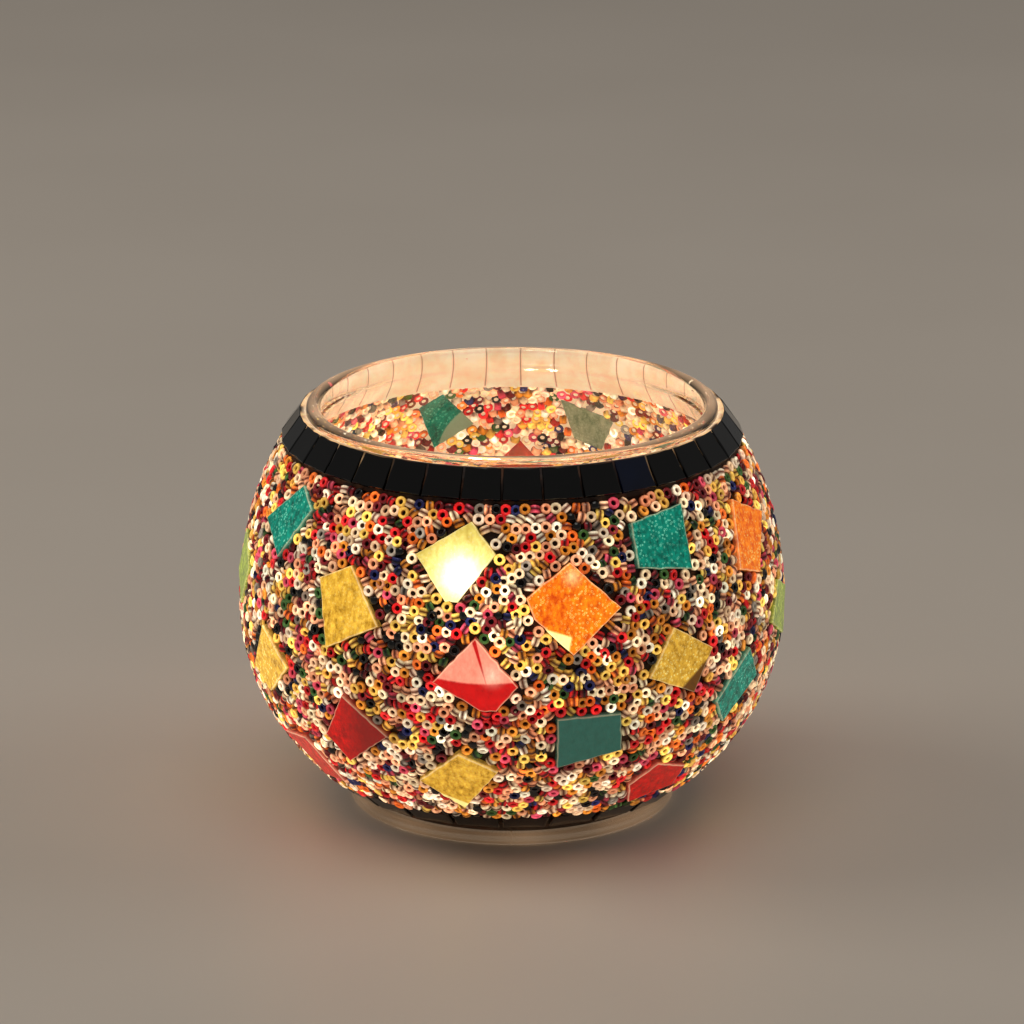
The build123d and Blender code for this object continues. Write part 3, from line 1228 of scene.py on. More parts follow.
@dataclass
class BaseCourse:
    """The course of dark tiles round the heel, just above the foot."""

    count: int = 24
    first_azimuth: float = 4.0
    length: float = 5.6
    thickness: float = 1.5
    height: float = 6.3
    joint: float = 0.6
    sunk: float = 0.9
    rounding: float = 0.3
    seed: int = 23

    def corners(self) -> Outline:
        """Outline of one tile, seen from outside."""
        tilt = BODY.tilt_at(self.height)
        radius = BODY.point(tilt, self.sunk + self.thickness)[0]
        return course_corners(self.count, self.joint, self.length, radius, tilt)

    def build(self) -> list[bpy.types.Object]:
        """Builds the course as one piece.

        Returns:
            The pieces.
        """
        tiles = []
        for index in range(self.count):
            azimuth = self.first_azimuth + index * 360 / self.count
            tiles.append((Seat.on_body(azimuth, self.height, self.sunk), self.corners(), index))
        finish = CourseGlass("dark_glass", linear(16, 11, 10), linear(46, 26, 20)).make()
        cut = TileCut(self.thickness, self.rounding, 0.06, 0.8)
        piece = laid_tiles("base_course", tiles, cut, finish, self.seed)
        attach(piece, BOWL)
        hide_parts("base_tiles")
        return [piece]


@dataclass(frozen=True)
class TileCut:
    """How a tile is cut: its thickness, edge rounding, edge waver and how far it lies askew."""

    thickness: float
    rounding: float
    waver: float
    askew: float
    edge_step: float = 1.4
    under_bevel: float = 0.15


def tile_mesh(
    corners: Outline, cut: TileCut, rng: np.random.Generator
) -> tuple[np.ndarray, list[tuple[int, ...]], np.ndarray]:
    """Shapes one tile in its own coordinates, its outer face at 0.

    Args:
        corners: The outline's corners.
        cut: How the tile is cut.
        rng: The source of the waver.

    Returns:
        Points, faces, and 1 at each vertex of the arris and 0 elsewhere.
    """
    ring = []
    for index, start in enumerate(corners):
        end = corners[(index + 1) % len(corners)]
        length = math.dist(start, end)
        steps = max(3, round(length / cut.edge_step))
        out = np.array([-(end[1] - start[1]), end[0] - start[0]]) / length
        sign = -1.0 if np.dot(out, start) < 0 else 1.0
        for step in range(steps):
            share = step / steps
            waver = 0.0 if step == 0 else rng.normal(0.0, cut.waver) * math.sin(math.pi * share)
            point = np.array(start) * (1 - share) + np.array(end) * share + out * sign * waver
            ring.append(point)
    outline = np.array(ring)
    middle = outline.mean(axis=0)
    away = outline - middle
    away /= np.linalg.norm(away, axis=1)[:, None]
    layers = (
        (cut.under_bevel, -cut.thickness, 0.0),
        (0.0, -cut.thickness + cut.under_bevel, 0.0),
        (0.0, -cut.rounding, 0.3),
        (cut.rounding * 0.3, -cut.rounding * 0.3, 0.9),
        (cut.rounding, 0.0, 0.3),
        (cut.rounding * 1.8, 0.0, 0.0),
    )
    points, edges = [], []
    for inset, height, arris in layers:
        flat = outline - away * inset
        points.append(np.column_stack([flat, np.full(len(flat), height)]))
        edges.append(np.full(len(flat), arris))
    size = len(outline)
    faces: list[tuple[int, ...]] = []
    for layer in range(len(layers) - 1):
        for index in range(size):
            after = (index + 1) % size
            low, high = layer * size, (layer + 1) * size
            faces.append((low + index, high + index, high + after, low + after))
    points.append(np.array([[*middle, 0.0], [*middle, -cut.thickness]]))
    edges.append(np.zeros(2))
    top_middle = len(layers) * size
    last = (len(layers) - 1) * size
    for index in range(size):
        after = (index + 1) % size
        faces.append((last + index, top_middle, last + after))
        faces.append((index, after, top_middle + 1))
    return np.concatenate(points), faces, np.concatenate(edges)


def laid_tiles(
    name: str,
    tiles: list[tuple[Seat, Outline, int]],
    cut: TileCut,
    material: bpy.types.Material,
    seed: int,
) -> bpy.types.Object:
    """Lays tiles on their seats as one piece, each slightly uneven.

    Args:
        name: The piece's name.
        tiles: Each tile's seat, outline and number.
        cut: How the tiles are cut.
        material: The finish.
        seed: Sets the unevenness.

    Returns:
        The piece, with each vertex's local place and arris share.
    """
    all_points, all_faces, all_edges, all_local = [], [], [], []
    base = 0
    for seat, corners, number in tiles:
        rng = np.random.default_rng(seed * 1000 + number)
        points, faces, edges = tile_mesh(corners, cut, rng)
        askew = np.radians(rng.normal(0.0, cut.askew, 2))
        local = points.copy()
        points[:, 2] += points[:, 0] * askew[0] + points[:, 1] * askew[1]
        all_points.append(seat.place(points))
        all_faces += [tuple(corner + base for corner in face) for face in faces]
        all_edges.append(edges)
        all_local.append(local)
        base += len(points)
    piece = mesh_object(name, np.concatenate(all_points), all_faces, material, smooth=False)
    add_attribute(piece, "edge", np.concatenate(all_edges))
    add_attribute(piece, "local_mm", np.concatenate(all_local))
    return piece


@dataclass(frozen=True)
class CutTile:
    """One hand-cut tile: glass, azimuth, height, outline seen from outside, and its own marks."""

    glass: Glass
    azimuth: float
    height: float
    outline: Outline
    wedges: tuple[Wedge, ...] = ()
    hot: tuple[HotSpot, ...] = ()
    lit: float = 1.0
    flecked: float = 1.0


PALE_GOLD = linear(255, 236, 140)
CUT_TILES = [
    CutTile(Glass.TEAL, -60, 72, [(1.5, 7.5), (7.5, 3.5), (0, -9), (-9, -2.5)]),
    CutTile(Glass.LIME, -82, 55, [(-3, 7.5), (8.5, 2), (2, -8), (-8, -3)]),
    CutTile(
        Glass.GOLD, -37.5, 58.5, [(-7, 4.5), (1, 8.5), (9.5, -3), (-3.5, -10)],
        lit=1.15, flecked=0.35,
    ),
    CutTile(
        Glass.YELLOW, -12, 69.5, [(2.5, 9.5), (8, 3), (0.5, -7.5), (-2, -7.5), (-9, 2)],
        hot=(HotSpot((1.1, -2.0), 11.0, 4.0),),
        flecked=0.4,
    ),
    CutTile(
        Glass.ORANGE, 10.5, 62, [(2, 8.5), (12.5, -1.5), (2, -11), (-6, -3), (-7.5, 1.5)],
        wedges=(
            Wedge(
                (-1.5, -6.0), (-0.35, -1.0), PALE_GOLD, 1.5, 0.25,
                stops=((1.5, -8.0), (1.0, -0.25)),
            ),
        ),
        hot=(HotSpot((2.3, 5.6), 3.2, 0.08, (1.0, 0.72, 0.3)),),
    ),
    CutTile(Glass.TEAL, 35, 72, [(-6.5, 5), (7, 7), (6.5, -7), (-7, -4.5)]),
    CutTile(Glass.ORANGE, 64, 66.5, [(-3, 9.5), (9, 3.5), (1, -8), (-7.5, -5)], lit=0.8),
    CutTile(Glass.LIME, 78, 47, [(-1.5, 6.5), (7.5, 2.5), (4, -7.5), (-9, -1)]),
    CutTile(
        Glass.GOLD, 37.5, 46, [(-2.5, 8), (8, 1.5), (3, -7.5), (-9, -2)],
        wedges=(Wedge((3.4, -3.0), (0.75, -1.0), linear(120, 74, 14), 0.5, 0.3),),
    ),
    CutTile(Glass.TEAL, 55.5, 35.5, [(2.5, 8.5), (8, 0.5), (-3, -7.5), (-7.5, -1.5)]),
    CutTile(
        Glass.ROSE, -6.5, 44.5, [(-1, 10.5), (8, 0), (3.5, -5.5), (0, -5.5), (-10, 0.5)],
        wedges=(
            Wedge((0.0, 0.5), (0.0, 1.0), linear(250, 142, 116), 1.3, 0.25, 0.012),
            Wedge(
                (-0.2, 5.2), (0.95, 0.3), linear(196, 16, 20), 0.9, 0.12,
                stops=((0.35, 5.2), (0.97, 0.22)),
            ),
            Wedge((0.0, 0.5), (0.0, -1.0), linear(200, 4, 12), 1.15, 0.25, -0.012),
        ),
        hot=(HotSpot((2.6, 2.6), 4.0, 0.08, (1.0, 0.6, 0.42)),),
        flecked=0.2,
    ),
    CutTile(
        Glass.RED, -37, 29.5, [(0, 9.5), (10, 1), (-2.5, -8.5), (-7.5, -2.5)],
        wedges=(Wedge((0.6, 0.5), (1.0, -0.1), linear(140, 0, 2), 0.6, 3.2),),
        flecked=0.05,
    ),
    CutTile(Glass.RED, -57, 17, [(-7, 6), (3, 8), (6.5, -5), (-2.5, -6.5)], flecked=0.05),
    CutTile(
        Glass.GOLD, -12, 21, [(0.5, 8), (8.5, 3), (0, -9.5), (-9, -1.5)],
        # Painted highlight: the thin pale wedge along the lower edge stands for a glint there.
        wedges=(Wedge((1.2, -8.1), (-0.5, -1.0), PALE_GOLD, 1.0, 0.2),),
        flecked=0.25,
    ),
    CutTile(
        Glass.TEAL, 16.5, 31.5, [(-7.5, 5.5), (6.5, 5.5), (7.5, -4), (-6.5, -7)],
        wedges=(Wedge((0.0, 12.0), (0.0, -1.0), linear(52, 112, 98), 1.0, 0.3),),
        lit=0.55, flecked=0.2,
    ),
    CutTile(
        Glass.RED, 38, 16, [(-2.5, 7), (7, 3), (7, -4), (-4, -6.5), (-7.5, 1)], flecked=0.3,
    ),
    CutTile(Glass.GOLD, -62.5, 39, [(-0.5, 8.5), (9.5, 1.5), (-1, -7), (-8, -3)], lit=1.15),
    CutTile(Glass.GOLD, 106, 69, [(-1, 8), (8, 1), (0.5, -8), (-8.5, -2)]),
    CutTile(Glass.SAGE, 159.5, 71, [(-5.5, 2), (7, 7), (5, -4), (-1.5, -6.5)]),
    CutTile(
        Glass.TEAL, 198, 73, [(0.5, 7), (6, 3.5), (1, -8.5), (-8, -2.5)],
        wedges=(Wedge((-1.4, -2.4), (-0.89, -0.45), linear(150, 170, 142), 1.1, 0.2, 0.04),),
    ),
    CutTile(Glass.ORANGE, 243, 71, [(-4, 8), (7, 5.5), (5.5, -7), (-7.5, -4)]),
    CutTile(Glass.TEAL, 131, 58, [(-7, 5), (6, 7.5), (8, -5), (-6, -7)]),
    CutTile(Glass.RED, 178, 56, [(0, 9.5), (8.5, 0.5), (0.5, -8.5), (-8.5, -0.5)]),
    CutTile(Glass.GOLD, 221, 57, [(-6, 6), (4.5, 8), (8, -5.5), (-5, -7.5)]),
    CutTile(Glass.RED, 257, 53, [(1.5, 8), (8.5, 0), (-1, -8.5), (-8, 0.5)]),
    CutTile(Glass.ORANGE, 107, 44, [(-6.5, 5.5), (5, 7.5), (7, -5), (-7, -6)]),
    CutTile(Glass.GOLD, 153, 44, [(0.5, 8.5), (8.5, 1.5), (-1.5, -8), (-8, -1.5)]),
    CutTile(Glass.TEAL, 198, 42, [(-7, 4), (3, 8), (8, -3.5), (-3, -8.5)]),
    CutTile(Glass.ORANGE, 236, 38, [(2, 8.5), (8.5, -1), (-2, -7.5), (-7.5, 2)]),
    CutTile(Glass.RED, 127, 30, [(-5, 7), (7, 5), (5.5, -7), (-7.5, -4.5)]),
    CutTile(Glass.TEAL, 173, 29, [(1, 8.5), (8, -1), (-1, -8), (-8, 1)]),
    CutTile(Glass.RED, 215, 25, [(-7.5, 4.5), (5, 7), (7.5, -4), (-5, -7)]),
    CutTile(Glass.GOLD, 262, 28, [(-1.5, 8), (8.5, 1), (2, -8), (-8, -1)]),
    CutTile(Glass.TEAL, 95, 22, [(1.5, 8), (8, 1.5), (-1, -8), (-8, -1.5)]),
    CutTile(Glass.GOLD, 146, 16.5, [(-6, 5.5), (6.5, 6), (6, -5.5), (-6.5, -5)]),
    CutTile(Glass.ORANGE, 194, 17, [(0.5, 7), (7.5, 0), (-0.5, -6.5), (-7, 0.5)]),
    CutTile(Glass.TEAL, 238, 17, [(-6.5, 4.5), (4, 7), (6.5, -4.5), (-4, -6.5)]),
]


@dataclass
class MosaicTiles:
    """The hand-cut coloured tiles, set flat into the beads."""

    thickness: float = 2.0
    sunk: float = 0.4
    rounding: float = 0.22
    waver: float = 0.1
    seed: int = 5

    def seat(self, tile: CutTile) -> Seat:
        """Where the middle of a tile's outer face lies."""
        return Seat.on_body(tile.azimuth, tile.height, self.sunk)

    def build(self) -> list[bpy.types.Object]:
        """Builds each tile as its own piece with its own glass.

        Returns:
            The pieces.
        """
        pieces = []
        cut = TileCut(self.thickness, self.rounding, self.waver, 0.0)
        for number, tile in enumerate(CUT_TILES, start=1):
            seat = self.seat(tile)
            lit = float(LIGHT.reach(seat.middle)) * tile.lit
            finish = TileGlass(tile.glass, number, lit, tile.wedges, tile.hot, tile.flecked)
            name = f"{tile.glass.name.lower()}_tile_{number:02d}"
            piece = laid_tiles(name, [(seat, tile.outline, number)], cut, finish.make(), self.seed)
            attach(piece, BOWL)
            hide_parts(f"mosaic_tile_{number:02d}_{tile.glass.name.lower()}")
            tile.glass.slot
            pieces.append(piece)
        return pieces


@dataclass
class AdhesiveBed:
    """The cream bed between glass and beads, thickened behind the black course."""

    bowl: GlassBowl
    border: BorderCourse
    base: BaseCourse
    outer: float = 1.35
    inner: float = 1.6
    base_outer: float = 1.75
    recess: float = 0.7
    top_recess: float = 0.12
    top_rise: float = 0.1
    top_width: float = 0.25
    foot_gap: float = 0.05
    base_overlap: float = 0.9
    clear: float = 0.04
    segments: int = 240

    @property
    def border_low_tilt(self) -> float:
        """Slope at the black course's lower edge, in radians.

        Returns:
            The slope angle.
        """
        edge = (
            BODY.neck_height
            - self.border.length / 2 * math.cos(self.border.lean)
            - self.border.thickness * math.sin(self.border.lean)
        )
        return BODY.tilt_at(edge)

    @property
    def base_high_tilt(self) -> float:
        """Slope at the dark course's upper edge, in radians."""
        turn = (self.base.length / 2 + self.base_overlap) / BODY.heel[0]
        return BODY.tilt_at(self.base.height) + turn

    def build(self) -> list[bpy.types.Object]:
        """Builds the bed as one turned ring.

        Returns:
            The pieces.
        """
        depth = self.bowl.cladding_depth - self.clear
        low = self.bowl.slope_at(BODY.foot_height + self.foot_gap, depth)
        outer_low = self.bowl.slope_at(BODY.foot_height + self.foot_gap, self.base_outer)
        base_high, border_low = self.base_high_tilt, self.border_low_tilt
        turn = self.bowl.turn_angle
        lean = self.border.lean
        top = (
            BODY.body_radius
            - self.border.setback
            - self.border.length / 2 * math.sin(lean)
            - self.top_recess * math.cos(lean),
            BODY.neck_height
            + self.border.length / 2 * math.cos(lean)
            - self.top_recess * math.sin(lean)
            + self.top_rise,
        )
        outside: Outline = BODY.run(outer_low, base_high, self.base_outer, 8)
        outside += BODY.run(base_high, border_low, self.outer, 64)
        outside += [BODY.point(border_low, self.recess), top]
        inside: Outline = [(self.bowl.lip_outer + self.clear, top[1] - self.top_width)]
        inside += self.bowl.lip_turn_points(self.bowl.lip_turn - self.clear, 5)[::-1]
        inside += BODY.run(border_low, turn, depth, 8)[::-1][1:]
        inside += BODY.run(base_high, border_low, self.inner, 64)[::-1]
        inside += BODY.run(low, base_high, depth, 8)[::-1]
        points, faces = lathe(outside + inside, self.segments)
        bed = mesh_object("adhesive_bed", points, faces, Adhesive().make())
        count = len(outside) * self.segments
        within = np.concatenate([np.zeros(count), np.ones(len(points) - count)])
        add_attribute(bed, "inside", within)
        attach(bed, BOWL)
        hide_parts("grout_bed")
        return [bed]


BEAD_FINISHES = [
    BeadFinish("cream", 0.17, linear(255, 210, 164), linear(96, 34, 14), 1.1),
    BeadFinish("ivory", 0.10, linear(255, 226, 192), linear(110, 44, 20), 1.15),
    BeadFinish("peach", 0.12, linear(250, 164, 118), linear(92, 26, 12)),
    BeadFinish("gold", 0.12, linear(248, 192, 84), linear(104, 48, 6), 1.1),
    BeadFinish("amber", 0.07, linear(206, 128, 36), linear(70, 26, 4)),
    BeadFinish("orange", 0.055, linear(240, 108, 30), linear(96, 18, 2)),
    BeadFinish("red", 0.10, linear(196, 20, 22), linear(52, 2, 2)),
    BeadFinish("pink", 0.045, linear(206, 70, 90), linear(70, 8, 18), 0.85),
    BeadFinish("maroon", 0.08, linear(112, 16, 24), linear(24, 3, 5), 0.7),
    BeadFinish("green", 0.035, linear(58, 96, 40), linear(5, 22, 7), 0.55),
    BeadFinish("navy", 0.025, linear(30, 36, 92), linear(4, 6, 26), 0.45),
    BeadFinish("smoky", 0.02, linear(140, 128, 112), linear(30, 24, 18), 0.7),
    BeadFinish("black", 0.06, linear(22, 16, 15), linear(4, 3, 3), 0.2),
]


@dataclass
class BeadJacket:
    """Several thousand seed beads, packed round the tiles and lying every way."""

    bed: AdhesiveBed
    tiles: MosaicTiles
    diameter: float = 2.62
    hole: float = 0.98
    length: float = 1.75
    top_depth: float = 0.05
    spacing: float = 2.18
    ring_on: float = 0.56
    tile_gap: float = 0.15
    edge_gap: float = 0.9
    steps: int = 22
    round_steps: int = 12
    section_steps: int = 8
    seed: int = 41
    squareness: float = 2.6
    # Painted light round each bead's section, for beads with the hole facing out and for beads lying
    # down: 1 where painted bright, near 0 where painted in shade.
    facing_lit_shares: tuple[float, ...] = (0.1, 0.7, 1.0, 0.85, 0.1, 0.85, 1.0, 0.7)
    lying_lit_shares: tuple[float, ...] = (0.08, 1.0, 1.0, 0.6, 0.0, 0.6, 1.0, 1.0)
    profile_steps: int = 400
    scatter_apart: float = 1.04
    scatter_rows: float = 0.9
    scatter_up: float = 0.4
    scatter_round: float = 0.5
    margin: float = 0.46
    least_margin: float = 0.34
    least_spacing: float = 0.72
    easing_reach: float = 1.12
    easing: float = 0.28
    tile_reach: float = 16.0
    deepest_sink: float = 0.28
    glow_level: float = 1.2
    glow_range: tuple[float, float] = (0.4, 1.35)
    sparkling: float = 0.12
    sparkle: float = 1.6
    flame_patch: tuple[float, float, float] = (-6.0, -58.0, 57.0)
    patch_spread: float = 9.0
    patch_glow: float = 1.3

    def build(self) -> list[bpy.types.Object]:
        """Builds the beads as one piece for each colour.

        Returns:
            The pieces.
        """
        rng = np.random.default_rng(self.seed)
        azimuths, tilts = self._packed(rng)
        count = len(azimuths)
        lay = rng.random(count) < self.ring_on
        facing_lean = np.abs(rng.normal(0, 12, count)).clip(0, 24)
        lean = np.where(lay, facing_lean, rng.uniform(78, 97, count))
        spin = rng.uniform(0, 360, count)
        finish_of = rng.choice(
            len(BEAD_FINISHES), count, p=[finish.share for finish in BEAD_FINISHES]
        )
        tone = rng.beta(2.2, 2.0, count)
        size = rng.normal(1.0, 0.035, count).clip(0.92, 1.06)
        sink = rng.uniform(0, self.deepest_sink, count)
        template, faces = self._bead()
        facing = np.tile(self.facing_lit_shares, self.round_steps)
        lying = np.tile(self.lying_lit_shares, self.round_steps)
        pieces = []
        for number, finish in enumerate(BEAD_FINISHES):
            chosen = np.flatnonzero(finish_of == number)
            blocks, glows, lit_backs = [], [], []
            for index in chosen:
                block, middle, outward = self._laid(
                    template * size[index],
                    azimuths[index],
                    tilts[index],
                    math.radians(lean[index]),
                    math.radians(spin[index]),
                    sink[index],
                )
                blocks.append(block)
                out = (block - middle) @ outward
                glows.append(self._glow(middle, rng) * self._rounding(out, bool(lay[index])))
                # Painted light: the inner side, which faces the candle, is painted bright.
                lit_backs.append(np.clip((-out - 0.45) / 0.5, 0, 1))
            piece = self._piece(finish, blocks, faces)
            # The painted light and shade go into the rim share.
            lit_shares = np.concatenate([facing if lay[index] else lying for index in chosen])
            add_attribute(piece, "rim", np.maximum(lit_shares, np.concatenate(lit_backs) * 0.8))
            add_attribute(piece, "glow", np.concatenate(glows))
            add_attribute(piece, "tone", np.repeat(tone[chosen], len(template)))
            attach(piece, BOWL)
            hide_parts("bead_jacket")
            finish.slot
            pieces.append(piece)
        LOG.info("beads: %d", count)
        return pieces

    def _piece(
        self, finish: BeadFinish, blocks: list[np.ndarray], faces: np.ndarray
    ) -> bpy.types.Object:
        """Joins the beads of one colour into one mesh.

        Args:
            finish: The colour.
            blocks: Points of each bead.
            faces: Corner numbers of one bead's faces.

        Returns:
            The piece.
        """
        size = len(blocks[0])
        all_faces = np.concatenate([faces + size * index for index in range(len(blocks))])
        mesh = bpy.data.meshes.new(f"beads_{finish.name}")
        points = np.concatenate(blocks) * MM
        mesh.vertices.add(len(points))
        mesh.vertices.foreach_set("co", points.astype(np.float32).ravel())
        mesh.loops.add(all_faces.size)
        mesh.loops.foreach_set("vertex_index", all_faces.astype(np.int32).ravel())
        mesh.polygons.add(len(all_faces))
        mesh.polygons.foreach_set("loop_start", np.arange(0, all_faces.size, 4, dtype=np.int32))
        mesh.update(calc_edges=True)
        mesh.validate()
        mesh.polygons.foreach_set("use_smooth", [True] * len(mesh.polygons))
        mesh.materials.append(finish.make())
        return linked(mesh.name, mesh)

    def _bead(self) -> tuple[np.ndarray, np.ndarray]:
        """One bead with its axis along z, as points and faces.

        Returns:
            Points and faces.
        """
        middle = (self.diameter + self.hole) / 4
        half_wall = (self.diameter - self.hole) / 4
        power = 2 / self.squareness
        points = []
        for step in range(self.round_steps):
            turn = 2 * math.pi * step / self.round_steps
            for part in range(self.section_steps):
                angle = 2 * math.pi * part / self.section_steps
                cosine, sine = math.cos(angle), math.sin(angle)
                radius = middle + half_wall * math.copysign(abs(cosine) ** power, cosine)
                height = self.length / 2 * math.copysign(abs(sine) ** power, sine)
                points.append((radius * math.cos(turn), radius * math.sin(turn), height))
        faces = []
        for step in range(self.round_steps):
            after = (step + 1) % self.round_steps
            for part in range(self.section_steps):
                later = (part + 1) % self.section_steps
                low, high = step * self.section_steps, after * self.section_steps
                faces.append((low + part, high + part, high + later, low + later))
        return np.array(points), np.array(faces)

    def _laid(
        self,
        bead: np.ndarray,
        azimuth: float,
        tilt: float,
        lean: float,
        spin: float,
        sink: float,
    ) -> tuple[np.ndarray, np.ndarray, np.ndarray]:
        """Puts one bead on the body.

        Args:
            bead: The bead's points, its axis along z.
            azimuth: Degrees from the front towards +X.
            tilt: Slope of the body there, in radians.
            lean: Angle of the bead's axis from the outward normal, in radians.
            spin: Direction in which it leans, in radians.
            sink: How far it is pressed in.

        Returns:
            Its points in the frame, its middle, and the direction out of the body there.
        """
        radius, height = BODY.point(tilt, 0.0)
        seat = Seat.leaning(azimuth, radius, height, tilt)
        sine, cosine = math.sin(lean), math.cos(lean)
        turned_x = bead[:, 0] * cosine + bead[:, 2] * sine
        turned_z = -bead[:, 0] * sine + bead[:, 2] * cosine
        across = turned_x * math.cos(spin) - bead[:, 1] * math.sin(spin)
        up = turned_x * math.sin(spin) + bead[:, 1] * math.cos(spin)
        out = turned_z - turned_z.max() - self.top_depth - sink
        local = np.column_stack([across, up, out])
        middle = seat.place(np.array([[0.0, 0.0, out.mean()]]))[0]
        return seat.place(local), middle, seat.outward

    def _rounding(self, out: np.ndarray, facing: bool) -> np.ndarray:
        """Share of a bead's glow at each vertex, less on the sides that turn away.

        Args:
            out: How far each vertex stands out from the bead's middle.
            facing: Whether the bead's hole faces out.

        Returns:
            One number for each vertex.
        """
        half = self.length / 2 if facing else self.diameter / 2
        share = np.clip(np.abs(out) / half, 0, 1)
        return 0.3 + 0.7 * share**1.3 if facing else 0.06 + 0.94 * share**3.2

    def _glow(self, middle: np.ndarray, rng: np.random.Generator) -> float:
        """How strongly a bead glows, from the candle's reach, its own clearness and a painted flame
        patch.

        Args:
            middle: The bead's middle.
            rng: The source of its clearness.

        Returns:
            The strength of its glow.
        """
        level = self.glow_level * float(LIGHT.reach(middle))
        away = np.linalg.norm(middle - np.array(self.flame_patch))
        # Painted light: a fixed glow patch in front, where the flame shows through the beads.
        hot = math.exp(-((away / self.patch_spread) ** 2))
        sparkle = self.sparkle if rng.random() < self.sparkling else 1.0
        return level * rng.uniform(*self.glow_range) * sparkle + self.patch_glow * hot

    def _packed(self, rng: np.random.Generator) -> tuple[np.ndarray, np.ndarray]:
        """Packs bead places evenly over the jacket, clear of the tiles.

        Args:
            rng: The source of the first scatter.

        Returns:
            Azimuths in degrees and slopes in radians.
        """
        low, high, table = self._length_table()
        places, along = [], low
        while along < high:
            radius = self._at_length(table, along)[0]
            count = round(2 * math.pi * radius / (self.spacing * self.scatter_apart))
            start = rng.uniform(0, 360)
            for step in range(count):
                places.append((start + step * 360 / count, along))
            along += self.spacing * self.scatter_rows
        spots = np.array(places)
        spots[:, 1] += rng.normal(0, self.scatter_up, len(spots))
        spots[:, 0] += rng.normal(0, self.scatter_round, len(spots))
        spots = self._outside_tiles(spots, low, high, table)
        for _ in range(self.steps):
            spots = self._eased(spots, low, high, table)
        spots = spots[self._clear_of_tiles(spots, table)]
        tilts = np.array([self._at_length(table, along)[2] for along in spots[:, 1]])
        return spots[:, 0], tilts

    def _length_table(self) -> tuple[float, float, np.ndarray]:
        """The profile as rows of length along it, radius, height and slope, with its two ends.

        Returns:
            The first and last length for beads, and the rows.
        """
        tilts = np.linspace(self.bed.base_high_tilt, self.bed.border_low_tilt, self.profile_steps)
        rows = np.array([(*BODY.point(tilt, 0.0), tilt) for tilt in tilts])
        steps = np.hypot(np.diff(rows[:, 0]), np.diff(rows[:, 1]))
        length = np.concatenate([[0.0], np.cumsum(steps)])
        table = np.column_stack([length, rows])
        return self.edge_gap, float(length[-1]) - self.edge_gap, table

    @staticmethod
    def _at_length(table: np.ndarray, along: float | np.ndarray) -> tuple[float, float, float]:
        """Radius, height and slope at a length along the profile."""
        return tuple(np.interp(along, table[:, 0], table[:, column]) for column in (1, 2, 3))

    def _in_frame(self, spots: np.ndarray, table: np.ndarray) -> np.ndarray:
        """Places of the spots in the frame."""
        radius, height, _ = self._at_length(table, spots[:, 1])
        turned = np.radians(spots[:, 0])
        return np.column_stack([radius * np.sin(turned), -radius * np.cos(turned), height])

    def _eased(
        self, spots: np.ndarray, low: float, high: float, table: np.ndarray
    ) -> np.ndarray:
        """Moves neighbours that are too close apart by one step.

        Args:
            spots: Azimuths, and lengths along the profile.
            low: The least length.
            high: The greatest length.
            table: The profile's rows.

        Returns:
            The moved spots.
        """
        where = self._in_frame(spots, table)
        tree = self._tree(where)
        reach = self.spacing * self.easing_reach
        push = np.zeros_like(where)
        for index, point in enumerate(where):
            for other, number, distance in tree.find_range(point, reach):
                if number != index and distance > 1e-6:
                    away = (point - np.array(other)) / distance
                    push[index] += away * (reach - distance) * self.easing
        radius, _, tilt = self._at_length(table, spots[:, 1])
        turned = np.radians(spots[:, 0])
        sideways = push[:, 0] * np.cos(turned) + push[:, 1] * np.sin(turned)
        level = push[:, 0] * np.sin(turned) - push[:, 1] * np.cos(turned)
        upward = push[:, 2] * np.cos(tilt) - level * np.sin(tilt)
        moved = spots.copy()
        moved[:, 0] += np.degrees(sideways / radius)
        moved[:, 1] += upward
        return self._outside_tiles(moved, low, high, table)

    def _outside_tiles(
        self, spots: np.ndarray, low: float, high: float, table: np.ndarray
    ) -> np.ndarray:
        """Pushes spots that lie under a tile's edge out past it.

        Args:
            spots: Azimuths, and lengths along the profile.
            low: The least length.
            high: The greatest length.
            table: The profile's rows.

        Returns:
            The moved spots.
        """
        moved = spots.copy()
        moved[:, 1] = moved[:, 1].clip(low, high)
        where = self._in_frame(moved, table)
        radius = self._at_length(table, moved[:, 1])[0]
        margin = self.diameter * self.margin + self.tile_gap
        for near, gaps, normals in self._by_tiles(where):
            inside = gaps < margin
            shift = normals[inside] * (margin - gaps[inside])[:, None]
            moved[near[inside], 0] += np.degrees(shift[:, 0] / radius[near[inside]])
            moved[near[inside], 1] += shift[:, 1]
        moved[:, 1] = moved[:, 1].clip(low, high)
        return moved

    def _clear_of_tiles(self, spots: np.ndarray, table: np.ndarray) -> np.ndarray:
        """Which spots are still clear of every tile and of each other.

        Args:
            spots: Azimuths, and lengths along the profile.
            table: The profile's rows.

        Returns:
            True for each spot that is clear.
        """
        where = self._in_frame(spots, table)
        clear = np.ones(len(spots), bool)
        for near, gaps, _ in self._by_tiles(where):
            clear[near[gaps < self.diameter * self.least_margin]] = False
        tree = self._tree(where)
        for index, point in enumerate(where):
            if clear[index]:
                for _, number, _ in tree.find_range(point, self.spacing * self.least_spacing):
                    if number > index:
                        clear[number] = False
        return clear

    @staticmethod
    def _tree(where: np.ndarray) -> kdtree.KDTree:
        """A tree that finds the spots near a point.

        Args:
            where: Places of the spots in the frame.

        Returns:
            The tree.
        """
        tree = kdtree.KDTree(len(where))
        for index, point in enumerate(where):
            tree.insert(point, index)
        tree.balance()
        return tree

